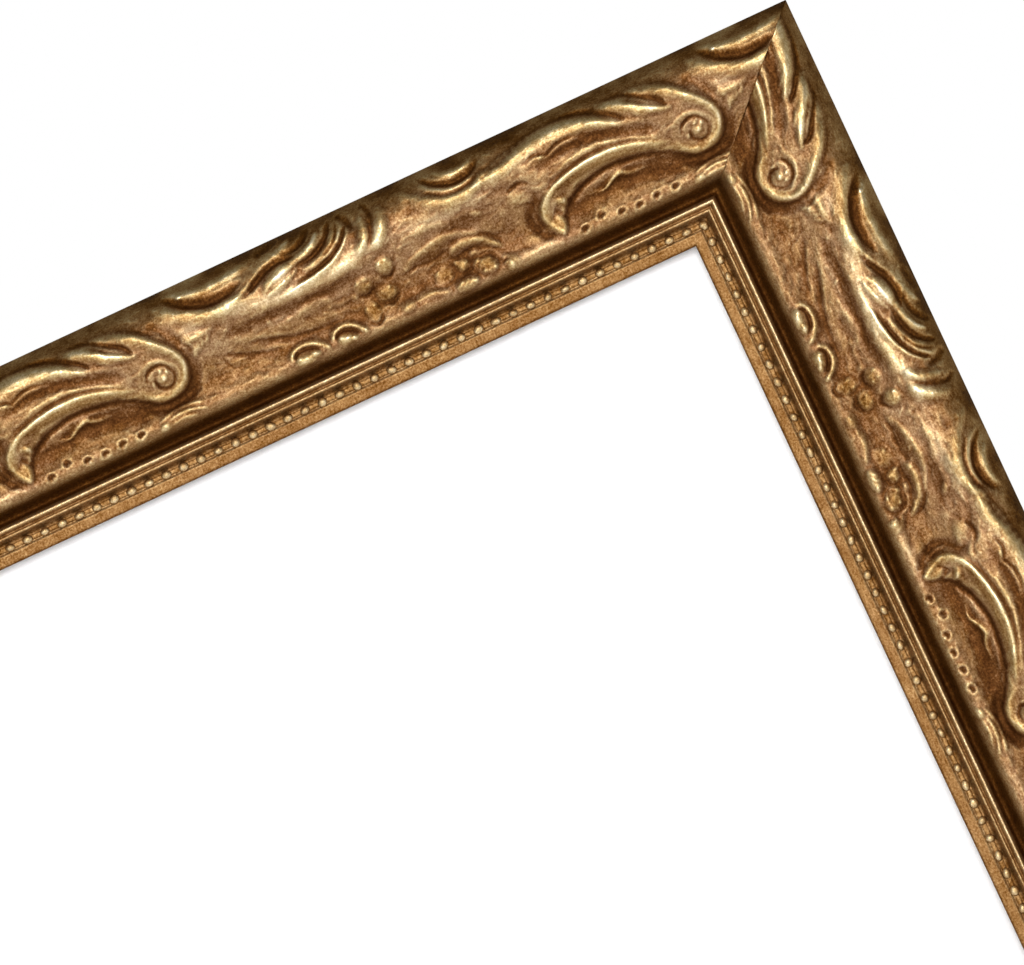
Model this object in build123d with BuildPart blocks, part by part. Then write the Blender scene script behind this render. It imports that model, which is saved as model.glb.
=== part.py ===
from build123d import *

import os
from math import ceil, cos, radians, sin

# Ornate gilded picture frame for an 11 x 14 in picture, hung upright on a wall.
# Four embossed rails are mitred and held by steel V-nails. Behind them a glazing sheet, a white card,
# a foam filler and a hardboard back lie in the rabbet, kept in by turn buttons that swing on screws.
#
# Axes: +X to the viewer's right, +Y into the wall, +Z up.
# Origin: on the wall, at the middle notch of the upper hanger, where the wall nail goes in.
# Units: millimetres.

# Picture and rabbet
picture_width = 279.4
picture_height = 355.6
sheet_clearance = 1.6
rabbet_width = 6.4
rabbet_depth = 9.5

# Sheets in the rabbet, from the front to the back
glazing_thickness = 2.0
card_thickness = 1.4
filler_thickness = 3.0
backing_thickness = 3.0

# Moulding: across runs outwards from the sight edge, height forwards from the rail's back
rail_width = 50.0
lip_height = 12.4
lip_flat = 3.2
lip_chamfer = 0.4
bead_bed_width = 2.5
bead_bed_height = 11.9
cove_width = 1.5
fillet_width = 1.1
fillet_height = 13.9
rib_radius = 0.95
rib_height = 15.3
channel_width = 3.6
channel_height = 11.8
rim_foot_height = 15.6
rim_width = 4.4
rim_height = 18.7
scoop_start_height = 18.2
scoop_width = 12.5
scoop_height = 19.0
crest_start_height = 21.6
crest_height = 23.0
crest_from_edge = 12.5
shoulder_height = 21.6
shoulder_from_edge = 3.6
side_bulge = 0.9
outer_edge_height = 13.0
back_chamfer = 0.8

# Beads along the sight edge
bead_radius = 1.25
bead_height = 1.35
bead_taper = 32
bead_pitch = 5.25
bead_sides = 5

# Ornament, raised from the moulding: it repeats along the rails, counted from the eye of a volute.
# The last eye of the top and bottom rails and the first eye of the side rails lie near their corners.
ornament_repeat = 158.7
eye_before_corner = 36.8
eye_after_corner = 42.1
relief_height = 1.6
volute_radius = 6.8
volute_across = 28.2
volute_sides = 10

# Corners of the raised forms, each as a share of the repeat along the rail, from the volute's eye,
# and a share of the rail's width across it
scroll_shares = (
    (-0.265, 0.376), (-0.306, 0.492), (-0.271, 0.624), (-0.225, 0.698), (-0.164, 0.724), (-0.095, 0.694),
    (-0.038, 0.620), (-0.038, 0.508), (-0.095, 0.582), (-0.151, 0.604), (-0.205, 0.580), (-0.243, 0.508),
)
outer_leaf_shares = (
    (-0.378, 0.800), (-0.304, 0.892), (-0.200, 0.898), (-0.107, 0.774), (-0.195, 0.842), (-0.300, 0.842),
)

# Corner V-nails
v_nail_leg = 5.0
v_nail_thickness = 0.6
v_nail_depth = 8.0
v_nail_sink = 0.3
v_nail_across = 17.0
v_nail_spacing = 14.0

# Small round pieces and their holes have a few flat sides, which keeps the many of them light
round_sides = 8

# Turn buttons and their screws
button_thickness = 1.2
button_radius = 5.0
button_tip_radius = 3.6
button_length = 14.0
button_chamfer = 0.3
button_across = 15.0
button_running_gap = 0.08
long_side_button_spacing = 200.0
short_side_button_spacing = 130.0
screw_radius = 1.4
screw_hole_gap = 0.08
screw_length = 9.0
screw_head_radius = 2.8
screw_head_height = 1.5
screw_head_chamfer = 0.5
screw_slot_width = 0.6
screw_slot_depth = 0.7

# Saw-tooth hangers and their nails
hanger_across = 26.0
hanger_length = 46.0
hanger_width = 9.0
hanger_thickness = 0.8
hanger_lift = 1.4
hanger_ear = 7.0
hanger_ramp = 2.5
hanger_tooth_pitch = 3.0
hanger_tooth_depth = 1.5
hanger_tooth_count = 9
nail_radius = 0.8
nail_length = 9.0
nail_head_radius = 1.6
nail_head_height = 0.6
pilot_gap = 0.05

# Wall pads
pad_radius = 5.0
pad_thickness = 3.5
pad_chamfer = 0.8
pad_from_edge = 10.0

# Derived sizes
sight_width = picture_width + 2 * (sheet_clearance - rabbet_width)
sight_height = picture_height + 2 * (sheet_clearance - rabbet_width)
back_y = -pad_thickness
frame_z = -(sight_height / 2 + hanger_across)
bead_across = lip_flat + bead_bed_width / 2

# Each rail: the direction that its outer edge faces, in degrees from +X towards +Z, the opening
# that it stands half of from the frame's centre, the length of its sight edge and its button spacing
rails = {
    "top_rail": (90, sight_height, sight_width, short_side_button_spacing),
    "right_rail": (0, sight_width, sight_height, long_side_button_spacing),
    "bottom_rail": (270, sight_height, sight_width, short_side_button_spacing),
    "left_rail": (180, sight_width, sight_height, long_side_button_spacing),
}


def across_direction(angle):
    """The direction from the sight edge outwards, for the rail at this angle."""
    return Vector(cos(radians(angle)), 0, sin(radians(angle)))


def along_direction(angle):
    """The direction along the rail at this angle, clockwise as seen from the front."""
    return Vector(sin(radians(angle)), 0, -cos(radians(angle)))


def rail_point(angle, opening, across=0.0, along=0.0, height=0.0):
    """A point of a rail by its place across, along and in front of its back."""
    start = Vector(0, back_y - height, frame_z)
    return start + across_direction(angle) * (opening / 2 + across) + along_direction(angle) * along


def back_plane(angle, opening, across=0.0, along=0.0, lift=0.0):
    """A plane on a rail's back: x runs outwards, y along the rail, z to the wall."""
    origin = rail_point(angle, opening, across, along, -lift)
    return Plane(origin=origin, x_dir=across_direction(angle), z_dir=(0, 1, 0))


def front_plane(height):
    """A plane parallel to the sheets, facing the viewer, this far in front of the rails' backs."""
    return Plane(origin=(0, back_y - height, frame_z), x_dir=(1, 0, 0), z_dir=(0, -1, 0))


def corner_planes(across, lift=0.0):
    """Planes on the backs of the four mitres: x runs outwards along the mitre, z to the wall."""
    half_width = sight_width / 2 + across
    half_height = sight_height / 2 + across
    planes = []
    for side_x, side_z in ((1, 1), (1, -1), (-1, -1), (-1, 1)):
        corner = (side_x * half_width, back_y + lift, frame_z + side_z * half_height)
        planes.append(Plane(origin=corner, x_dir=(side_x, 0, side_z), z_dir=(0, 1, 0)))
    return planes


def rail_section(raised=0.0):
    """The outline of the moulding, its rim, scoop and crest raised by this much, as a face."""
    bed_end = lip_flat + bead_bed_width
    fillet_start = bed_end + cove_width
    rib_start = fillet_start + fillet_width
    rib_foot = rib_height - rib_radius
    channel_start = rib_start + 2 * rib_radius
    channel_end = channel_start + channel_width
    rim_end = channel_end + rim_width
    crest_start = rim_end + scoop_width
    crest_across = rail_width - crest_from_edge
    shoulder = rail_width - shoulder_from_edge
    with BuildLine() as outline:
        Polyline(
            (rail_width - back_chamfer, 0),
            (rabbet_width, 0),
            (rabbet_width, rabbet_depth),
            (0, rabbet_depth),
            (0, lip_height - lip_chamfer),
            (lip_chamfer, lip_height),
            (lip_flat, lip_height),
            (lip_flat, bead_bed_height),
            (bed_end, bead_bed_height),
            (fillet_start, fillet_height),
            (rib_start, fillet_height),
            (rib_start, rib_foot),
        )
        ThreePointArc((rib_start, rib_foot), (rib_start + rib_radius, rib_height), (channel_start, rib_foot))
        ThreePointArc(
            (channel_start, rib_foot),
            (channel_start + channel_width / 3, channel_height),
            (channel_end, rim_foot_height),
        )
        ThreePointArc(
            (channel_end, rim_foot_height),
            (channel_end + rim_width / 3, rim_height + raised),
            (rim_end, scoop_start_height + raised),
        )
        ThreePointArc(
            (rim_end, scoop_start_height + raised),
            (rim_end + scoop_width / 2, scoop_height + raised),
            (crest_start, crest_start_height + raised),
        )
        ThreePointArc(
            (crest_start, crest_start_height + raised),
            (crest_across, crest_height + raised),
            (shoulder, shoulder_height + raised),
        )
        ThreePointArc(
            (shoulder, shoulder_height + raised),
            (rail_width - shoulder_from_edge / 2 + side_bulge, (shoulder_height + outer_edge_height) / 2),
            (rail_width, outer_edge_height),
        )
        Polyline(
            (rail_width, outer_edge_height),
            (rail_width, back_chamfer),
            (rail_width - back_chamfer, 0),
        )
    make_face(outline.edges())


def ornament_shape():
    """The plan of one repeat of the ornament: the great scroll, its volute and the leaf outside it."""
    for shares in (scroll_shares, outer_leaf_shares):
        with BuildLine() as outline:
            Polyline([(rail_width * across, ornament_repeat * place) for place, across in shares], close=True)
        make_face(outline.edges())
    with Locations((volute_across, 0)):
        RegularPolygon(volute_radius, volute_sides)


def eye_places(angle, run):
    """The places along a rail of the volutes' eyes, those just past its ends included."""
    last = run / 2 - eye_before_corner
    if angle % 180 == 0:
        last = -run / 2 + eye_after_corner + ornament_repeat * ceil(run / ornament_repeat)
    return [last + ornament_repeat * (1 - index) for index in range(ceil(run / ornament_repeat) + 2)]


def v_nail_shape():
    """The plan of a V-nail, opening outwards along the mitre, as a face in the current sketch."""
    reach = v_nail_leg * cos(radians(45))
    back = v_nail_thickness / cos(radians(45))
    with BuildLine() as outline:
        Polyline(
            (0, 0), (reach, reach), (reach + back, reach), (back, 0), (reach + back, -reach), (reach, -reach),
            close=True,
        )
    make_face(outline.edges())


def button_places(angle, opening, spacing):
    """The back planes of a rail's two turn-button screws."""
    return [back_plane(angle, opening, button_across, along) for along in (-spacing / 2, spacing / 2)]


def hanger_planes(angle, opening):
    """The back planes of the nails through a hanger's two ears."""
    across = hanger_across - hanger_tooth_depth + hanger_width / 2
    reach = (hanger_length - hanger_ear) / 2
    return [back_plane(angle, opening, across, along) for along in (-reach, reach)]


os.makedirs("parts", exist_ok=True)

hangers = {
    "hanger_portrait": rails["top_rail"][:2],
    "hanger_landscape": rails["right_rail"][:2],
}
screw_planes = []
for angle, opening, length, spacing in rails.values():
    screw_planes += button_places(angle, opening, spacing)
nail_planes = []
for angle, opening in hangers.values():
    nail_planes += hanger_planes(angle, opening)
v_nail_planes = corner_planes(v_nail_across, -v_nail_sink)
v_nail_planes += corner_planes(v_nail_across + v_nail_spacing, -v_nail_sink)

# Bead: a small boss that narrows to its top
with BuildPart() as bead:
    with BuildSketch():
        RegularPolygon(bead_radius, bead_sides)
    extrude(amount=bead_height, taper=bead_taper)

# Rails: the moulding is run past both corners, embossed, drilled for the fasteners, beaded and mitred.
# The ornament is its plan cut out of a moulding whose scoop and crest stand higher.
for name, (angle, opening, length, spacing) in rails.items():
    run = length + 2 * rail_width
    start = rail_point(angle, opening, along=-run / 2)
    run_plane = Plane(origin=start, x_dir=across_direction(angle), z_dir=along_direction(angle))
    with BuildPart() as raised:
        with BuildSketch(run_plane):
            rail_section(relief_height)
        extrude(amount=run)
    with BuildPart() as ornament:
        for place in eye_places(angle, run):
            with BuildSketch(back_plane(angle, opening, along=place)):
                ornament_shape()
        extrude(amount=-(crest_height + 2 * relief_height))
        add(raised.part, mode=Mode.INTERSECT)
    with BuildPart() as rail:
        with BuildSketch(run_plane):
            rail_section()
        extrude(amount=run)
        add(ornament.part)
        for plane in v_nail_planes:
            with BuildSketch(plane):
                v_nail_shape()
        extrude(amount=-v_nail_depth, mode=Mode.SUBTRACT)
        for plane in button_places(angle, opening, spacing):
            with BuildSketch(plane):
                RegularPolygon(screw_radius + pilot_gap, round_sides)
        extrude(amount=-screw_length, mode=Mode.SUBTRACT)
        for plane in nail_planes:
            with BuildSketch(plane):
                RegularPolygon(nail_radius + pilot_gap, round_sides)
        extrude(amount=-nail_length, mode=Mode.SUBTRACT)
        bead_run = length + 2 * bead_across
        bead_count = ceil(bead_run / bead_pitch)
        bead_seats = []
        for index in range(bead_count + 1):
            along = (index / bead_count - 0.5) * bead_run
            seat = rail_point(angle, opening, bead_across, along, bead_bed_height)
            bead_seats.append(Plane(origin=seat, x_dir=along_direction(angle), z_dir=(0, -1, 0)))
        with Locations(*bead_seats):
            add(bead.part)
        for end in (-1, 1):
            corner = rail_point(angle, opening, along=end * length / 2)
            beyond = along_direction(angle) * end - across_direction(angle)
            split(bisect_by=Plane(origin=corner, z_dir=beyond), keep=Keep.BOTTOM)
    rail.part.label = name
    export_step(rail.part, f"parts/{name}.step")

# V-nails: one solid at each place along the mitres
with BuildPart() as corner_v_nails:
    for plane in v_nail_planes:
        with BuildSketch(plane):
            v_nail_shape()
    extrude(amount=-v_nail_depth)
corner_v_nails.part.label = "corner_v_nails"
export_step(corner_v_nails.part, "parts/corner_v_nails.step")

# Sheets: each lies against the one in front of it, the glazing against the rabbet
sheets = {
    "glazing": glazing_thickness,
    "mount_card": card_thickness,
    "filler_board": filler_thickness,
    "backing_board": backing_thickness,
}
front_height = rabbet_depth
for name, thickness in sheets.items():
    with BuildPart() as sheet:
        with BuildSketch(front_plane(front_height)):
            Rectangle(picture_width, picture_height)
        extrude(amount=-thickness)
    sheet.part.label = name
    export_step(sheet.part, f"parts/{name}.step")
    front_height -= thickness

# Turn buttons: at rest each lies along its rail, clear of the backing board
button_number = 0
for angle, opening, length, spacing in rails.values():
    for along in (-spacing / 2, spacing / 2):
        button_number += 1
        name = f"turn_button_{button_number}"
        with BuildPart() as button:
            with BuildSketch(back_plane(angle, opening, button_across, along, button_running_gap)):
                RegularPolygon(button_radius, round_sides)
                with Locations((0, button_length)):
                    RegularPolygon(button_tip_radius, round_sides)
                make_hull()
            extrude(amount=button_thickness)
            chamfer(button.edges().group_by(Axis.Y)[-1], length=button_chamfer)
            with BuildSketch(back_plane(angle, opening, button_across, along, button_running_gap)):
                RegularPolygon(screw_radius + screw_hole_gap, round_sides, major_radius=False)
            extrude(amount=button_thickness, mode=Mode.SUBTRACT)
        button.part.label = name
        export_step(button.part, f"parts/{name}.step")

# Screws: a slotted pan head over each button, its shank in the rail
with BuildPart() as turn_button_screws:
    head_lift = button_thickness + 2 * button_running_gap
    for plane in screw_planes:
        with BuildSketch(plane):
            RegularPolygon(screw_radius, round_sides)
    extrude(amount=-screw_length)
    for plane in screw_planes:
        with BuildSketch(plane):
            RegularPolygon(screw_radius, round_sides)
    extrude(amount=head_lift)
    for plane in screw_planes:
        with BuildSketch(plane.offset(head_lift)):
            RegularPolygon(screw_head_radius, round_sides)
    extrude(amount=screw_head_height)
    chamfer(turn_button_screws.edges().group_by(Axis.Y)[-1], length=screw_head_chamfer)
    for plane in screw_planes:
        with BuildSketch(plane.offset(head_lift + screw_head_height)):
            Rectangle(2 * screw_head_radius, screw_slot_width, rotation=45)
    extrude(amount=-screw_slot_depth, mode=Mode.SUBTRACT)
turn_button_screws.part.label = "turn_button_screws"
export_step(turn_button_screws.part, "parts/turn_button_screws.step")

# Hangers: a strip with two ears on the rail, lifted between them, toothed along its inner edge
for name, (angle, opening) in hangers.items():
    inner_edge = hanger_across - hanger_tooth_depth
    with BuildPart() as hanger:
        start = rail_point(angle, opening, inner_edge)
        with BuildSketch(Plane(origin=start, x_dir=along_direction(angle), z_dir=across_direction(angle))):
            with BuildLine():
                ear_end = hanger_length / 2
                ramp_end = ear_end - hanger_ear
                ramp_start = ramp_end - hanger_ramp
                Polyline(
                    (-ear_end, 0), (-ramp_end, 0), (-ramp_start, hanger_lift),
                    (ramp_start, hanger_lift), (ramp_end, 0), (ear_end, 0),
                    (ear_end, hanger_thickness),
                    (ramp_end, hanger_thickness),
                    (ramp_start, hanger_lift + hanger_thickness),
                    (-ramp_start, hanger_lift + hanger_thickness),
                    (-ramp_end, hanger_thickness),
                    (-ear_end, hanger_thickness),
                    close=True,
                )
            make_face()
        extrude(amount=hanger_width)
        with BuildSketch(back_plane(angle, opening, inner_edge)):
            with GridLocations(0, hanger_tooth_pitch, 1, hanger_tooth_count):
                Polygon(
                    (0, -hanger_tooth_pitch / 2),
                    (hanger_tooth_depth, 0),
                    (0, hanger_tooth_pitch / 2),
                    align=None,
                )
        extrude(amount=hanger_lift + hanger_thickness, mode=Mode.SUBTRACT)
        for plane in hanger_planes(angle, opening):
            with BuildSketch(plane):
                RegularPolygon(nail_radius + pilot_gap, round_sides)
        extrude(amount=hanger_thickness, mode=Mode.SUBTRACT)
    hanger.part.label = name
    export_step(hanger.part, f"parts/{name}.step")

# Hanger nails: the head on the ear, the shank through it and in the rail
with BuildPart() as hanger_nails:
    for plane in nail_planes:
        with BuildSketch(plane.offset(hanger_thickness)):
            RegularPolygon(nail_head_radius, round_sides)
    extrude(amount=nail_head_height)
    for plane in nail_planes:
        with BuildSketch(plane.offset(hanger_thickness)):
            RegularPolygon(nail_radius, round_sides)
    extrude(amount=-(hanger_thickness + nail_length))
hanger_nails.part.label = "hanger_nails"
export_step(hanger_nails.part, "parts/hanger_nails.step")

# Wall pads: a soft disc over each mitre
with BuildPart() as wall_pads:
    for plane in corner_planes(rail_width - pad_from_edge):
        with BuildSketch(plane):
            RegularPolygon(pad_radius, round_sides)
    extrude(amount=pad_thickness)
    chamfer(wall_pads.edges().group_by(Axis.Y)[-1], length=pad_chamfer)
wall_pads.part.label = "wall_pads"
export_step(wall_pads.part, "parts/wall_pads.step")
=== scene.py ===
import math

import bpy
import numpy as np
from mathutils import Matrix, Vector


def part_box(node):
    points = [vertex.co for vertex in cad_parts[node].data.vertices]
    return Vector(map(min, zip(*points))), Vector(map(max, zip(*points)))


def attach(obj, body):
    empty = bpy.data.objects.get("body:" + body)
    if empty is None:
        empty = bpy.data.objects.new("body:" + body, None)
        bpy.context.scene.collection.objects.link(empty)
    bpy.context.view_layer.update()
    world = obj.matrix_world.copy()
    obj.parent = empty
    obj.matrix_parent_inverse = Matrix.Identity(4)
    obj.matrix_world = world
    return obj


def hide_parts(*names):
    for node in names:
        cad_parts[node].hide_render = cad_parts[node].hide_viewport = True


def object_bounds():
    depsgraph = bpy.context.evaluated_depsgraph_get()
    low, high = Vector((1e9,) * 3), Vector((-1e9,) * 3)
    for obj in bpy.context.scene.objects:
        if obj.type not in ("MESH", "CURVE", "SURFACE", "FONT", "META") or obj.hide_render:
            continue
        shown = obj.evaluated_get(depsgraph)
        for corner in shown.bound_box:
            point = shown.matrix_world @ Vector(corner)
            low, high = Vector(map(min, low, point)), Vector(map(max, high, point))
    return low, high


# Ornate gilded picture frame: the rails' pressed ornament, beads and gilding, and the fittings' finishes.
# Everything is in metres, in the frame's own axes. The ornament is drawn in millimetres: p runs clockwise
# along the moulding from the eye of a volute, q outwards from the sight edge.

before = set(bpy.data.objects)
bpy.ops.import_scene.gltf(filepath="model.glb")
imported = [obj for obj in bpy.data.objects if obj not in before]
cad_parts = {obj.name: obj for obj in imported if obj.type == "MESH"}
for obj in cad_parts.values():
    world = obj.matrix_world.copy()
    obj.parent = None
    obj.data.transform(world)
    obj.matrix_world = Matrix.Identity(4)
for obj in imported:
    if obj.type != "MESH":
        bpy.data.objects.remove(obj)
cad_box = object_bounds()

MM = 0.001

# Places that come from the frame
top_low, top_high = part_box("top_rail")
left_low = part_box("left_rail")[0]
right_low, right_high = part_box("right_rail")
glazing_low, glazing_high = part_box("glazing")
RAIL_WIDTH = (top_high[2] - top_low[2]) / MM
OUTER_WIDTH = (right_high[0] - left_low[0]) / MM
OUTER_HEIGHT = (right_high[2] - right_low[2]) / MM
BACK_Y = top_high[1]
CENTRE_Z = (right_low[2] + right_high[2]) / 2
SIGHT_WIDTH = OUTER_WIDTH - 2 * RAIL_WIDTH
SIGHT_HEIGHT = OUTER_HEIGHT - 2 * RAIL_WIDTH
FULL_HEIGHT = (BACK_Y - top_low[1]) / MM
RABBET_HEIGHT = (BACK_Y - glazing_low[1]) / MM
GLAZING_CLEARANCE = 1.6
RABBET_ACROSS = ((glazing_high[0] - glazing_low[0]) / MM - SIGHT_WIDTH) / 2 + GLAZING_CLEARANCE

# From an outer corner back to the top rail's last volute eye, and on to the right rail's first
EYE_BEFORE_CORNER = 36.8
EYE_AFTER_CORNER = 42.1

# Each rail: the direction its outer edge faces, in degrees, the opening it stands half of, the length of
# its sight edge, and the ornament's place at the end of its outer edge that comes first clockwise
RAILS = {
    "top_rail": (90, SIGHT_HEIGHT, SIGHT_WIDTH, EYE_BEFORE_CORNER - OUTER_WIDTH),
    "right_rail": (0, SIGHT_WIDTH, SIGHT_HEIGHT, -EYE_AFTER_CORNER),
    "bottom_rail": (270, SIGHT_HEIGHT, SIGHT_WIDTH, EYE_BEFORE_CORNER - OUTER_WIDTH),
    "left_rail": (180, SIGHT_WIDTH, SIGHT_HEIGHT, -EYE_AFTER_CORNER),
}

# Moulding section, as height in front of the rail's back against q
REPEAT = 158.7
BAND_START = 13.8
BAND_END = 50.0
PROFILE = [
    (0, 12), (0.35, 12.4), (3, 12.45), (3.25, 12.2), (3.45, 11.9), (5.6, 11.9), (6, 12.2),
    (6.6, 13), (6.95, 13.85), (7.3, 14.1), (7.65, 13.9), (7.95, 13.5), (8.25, 13.55), (8.5, 14.4),
    (8.8, 15), (9.25, 15.25), (9.7, 15), (10, 14.3), (10.25, 13.2), (10.7, 12.2), (11.4, 11.8),
    (12.2, 12.2), (13, 13.4), (13.8, 15.4), (14.6, 17.2), (15.4, 18.3), (16.6, 18.7), (18, 18.5),
    (19.6, 17.9), (22, 17.5), (25, 18.1), (28, 19.3), (31, 20.6), (34, 21.7), (37, 22.4),
    (39.5, 22.5), (42, 22.3), (44, 21.3), (46, 19.7), (47.5, 18), (48.7, 16), (49.5, 14.2),
    (50, 12.6),
]

# How far the gilding is rubbed bright against q: over the band, and over the sight side's mouldings
# Besides real rubbing and glaze, these values paint shade into the channel and onto the steep outer edge,
# and highlights along the crest, the rim and the ribs
EDGE_WEAR_AND_SHADE = [
    (13.8, 0.3), (14.2, 0.42), (14.8, 0.48), (15.4, 0.48), (16.4, 0.41), (18, 0.38), (19.6, 0.32),
    (22, 0.27), (26, 0.33), (30, 0.43), (34, 0.41), (37, 0.41), (40, 0.38), (42, 0.36), (44, 0.39),
    (46, 0.39), (48, 0.31), (49.4, 0.23), (50, 0.2),
]
SIGHT_WEAR_AND_SHADE = [
    (0, 0.22), (0.6, 0.3), (1.5, 0.32), (2.6, 0.3), (3.1, 0.5), (3.5, 0.44), (5.6, 0.28), (6.2, 0.28),
    (7.3, 0.5), (7.9, 0.3), (8.3, 0.34), (9.2, 0.68), (10, 0.56), (10.5, 0.12), (11.2, 0), (12.4, 0.1),
    (13.4, 0.16), (13.8, 0.26),
]

# Relief tile: one repeat of the ornament, in steps of a quarter of a millimetre
STEP = 0.25
TILE_P = int(round(REPEAT / STEP))
TILE_Q = int(round(BAND_END / STEP)) + 1
swell, bodies, ridges, cuts, raised, scored, rub_and_highlight, wash_and_shadow = np.zeros((8, TILE_P, TILE_Q))


def smooth_path(points, per_span=12):
    """A smooth path through given points, with how far along the points each sample lies."""
    pts = np.array(points, float)
    ext = np.vstack([2 * pts[0] - pts[1], pts, 2 * pts[-1] - pts[-2]])
    out, along = [], []
    for i in range(len(pts) - 1):
        a, b, c, d = ext[i], ext[i + 1], ext[i + 2], ext[i + 3]
        for k in range(per_span + (i == len(pts) - 2)):
            t = k / per_span
            out.append(0.5 * (2 * b + (c - a) * t + (2 * a - 5 * b + 4 * c - d) * t**2
                              + (3 * b - a - 3 * c + d) * t**3))
            along.append((i + t) / (len(pts) - 1))
    return np.array(out), np.array(along)


def window(low_p, high_p, low_q, high_q):
    """The tile's cells in a range of p and q, as indices and coordinates."""
    i = np.arange(math.floor(low_p / STEP), math.ceil(high_p / STEP) + 1)
    j = np.arange(max(0, math.floor(low_q / STEP)), min(TILE_Q - 1, math.ceil(high_q / STEP)) + 1)
    return i % TILE_P, j, i * STEP, j * STEP


def fall(u, soft):
    """A form's fall from its crest, 1 at u = 0, to its foot, 0 at u = 1: round or, when soft, flowing."""
    u = np.clip(u, 0, 1)
    return (1 - soft) * (1 - u**2) ** 0.7 + soft * (1 - u) ** 2 * (1 + 2 * u)


def around(path, reach):
    """The cells within reach of a path, how far each lies from the path's samples in p and in q, and which
    sample is nearest at what distance."""
    low, high = path.min(axis=0) - reach, path.max(axis=0) + reach
    ii, jj, ps, qs = window(low[0], high[0], low[1], high[1])
    dp, dq = ps[:, None, None] - path[:, 0], qs[None, :, None] - path[:, 1]
    distance = np.hypot(dp, dq)
    return np.ix_(ii, jj), dp, dq, distance.argmin(axis=2), distance.min(axis=2)


def stroke(layer, points, height, left, right=None, soft=0, ends=0.12):
    """A form along a path. Its height and its reach to the left and right of the path may be lists spread
    along it, and each side falls hard or softly."""
    path, along = smooth_path(points)
    right = left if right is None else right
    heights, lefts, rights = (np.interp(along, np.linspace(0, 1, np.size(v)), np.atleast_1d(v))
                              for v in (height, left, right))
    if ends:
        taper = np.sqrt(np.clip(np.minimum(along, 1 - along) / ends, 0, 1))
        heights, lefts, rights = heights * taper, lefts * (0.3 + 0.7 * taper), rights * (0.3 + 0.7 * taper)
    cells, dp, dq, nearest, near = around(path, max(lefts.max(), rights.max()) + STEP)
    off_p, off_q = (np.take_along_axis(v, nearest[..., None], 2)[..., 0] for v in (dp, dq))
    tangent = np.gradient(path, axis=0)
    on_left = tangent[nearest, 0] * off_q - tangent[nearest, 1] * off_p > 0
    soft = np.broadcast_to(soft, 2)
    shape = np.where(on_left, fall(near / lefts[nearest], soft[0]), fall(near / rights[nearest], soft[1]))
    layer[cells] = np.maximum(layer[cells], heights[nearest] * shape)


def plate(layer, outline, height, edge, soft):
    """A raised or sunk area inside a closed outline, which rises over an edge that may vary along it."""
    path, along = smooth_path([*outline, outline[0]], 6)
    edges = np.interp(along, np.linspace(0, 1, len(edge)), edge)
    cells, dp, dq, nearest, near = around(path, 0)
    crosses = (dq[..., :-1] > 0) != (dq[..., 1:] > 0)
    run = path[1:] - path[:-1]
    side = dp[..., :-1] * run[:, 1] - dq[..., :-1] * run[:, 0]
    crosses = crosses & ((side > 0) == (run[:, 1] > 0))
    shape = np.where(crosses.sum(axis=2) % 2 == 1, fall(1 - near / edges[nearest], soft), 0)
    layer[cells] = np.maximum(layer[cells], height * shape)


def oval_radius(p, q, along, across, turn, spare):
    """The cells in and near an oval, its long axis turned from +p towards +q, and how far out each lies:
    1 at the oval's edge."""
    reach = max(along, across) / 2 + spare + STEP
    ii, jj, ps, qs = window(p - reach, p + reach, q - reach, q + reach)
    c, s = math.cos(math.radians(turn)), math.sin(math.radians(turn))
    dp, dq = ps[:, None] - p, qs[None, :] - q
    return np.ix_(ii, jj), np.hypot((dp * c + dq * s) / (along / 2), (dq * c - dp * s) / (across / 2))


def boss(layer, p, q, along, across, height, turn=0, soft=0):
    """An oval form."""
    cells, radius = oval_radius(p, q, along, across, turn, 0)
    layer[cells] = np.maximum(layer[cells], height * fall(radius, soft))


def hoop(layer, p, q, along, across, height, wall, turn=0):
    """A form that runs round an oval's edge."""
    cells, radius = oval_radius(p, q, along, across, turn, wall * 2)
    off = np.abs(radius - 1) * min(along, across) / 2
    layer[cells] = np.maximum(layer[cells], height * fall(off / wall, 0.5))


def blur(field, size):
    """A field smoothed over a size in millimetres, wrapped along p."""
    pad = int(4 * size / STEP) + 1
    wide = np.pad(field, ((0, 0), (pad, pad)), mode="edge")
    fp = np.fft.fftfreq(wide.shape[0], STEP)[:, None]
    fq = np.fft.fftfreq(wide.shape[1], STEP)[None, :]
    out = np.fft.ifft2(np.fft.fft2(wide) * np.exp(-2 * (math.pi * size) ** 2 * (fp**2 + fq**2))).real
    return out[:, pad:-pad]


# Leaf body that carries the great scroll and the volute: undercut along its lower edge, steep towards the
# outer edge and flowing into the field at its other end
plate(bodies, [(-43.8, 17.2), (-46.4, 19.4), (-48.4, 23), (-48.6, 27), (-46.8, 30.2), (-48.6, 33.4),
      (-54, 36.4), (-62, 39.4), (-55, 43), (-41.4, 46.2), (-32.6, 46.4), (-25.2, 45.2), (-18, 45.6),
      (-10, 45.8), (-2, 43.2), (3.6, 38.4), (7.4, 33.4), (8.2, 28.6), (6.4, 24.4), (2.4, 22.2),
      (-2.4, 22.2), (-6.4, 24.4), (-10.4, 26.8), (-16.4, 28.8), (-22, 29.8), (-27.6, 29.8), (-33.1, 28.6),
      (-37, 26.8), (-39.6, 24.8), (-41.4, 22), (-42.2, 18.6)], 1.15, [1.2, 1.6, 2, 2.4, 3, 4.4, 4.6, 3, 3.6,
      2.6, 2.4, 2.2, 2.2, 2.2, 2, 1.6, 1.3, 1.1, 1, 1, 1, 1, 1, 1, 1, 1.1, 1.3, 1.4, 1.2, 1.2, 1.2], 0.25)

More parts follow.
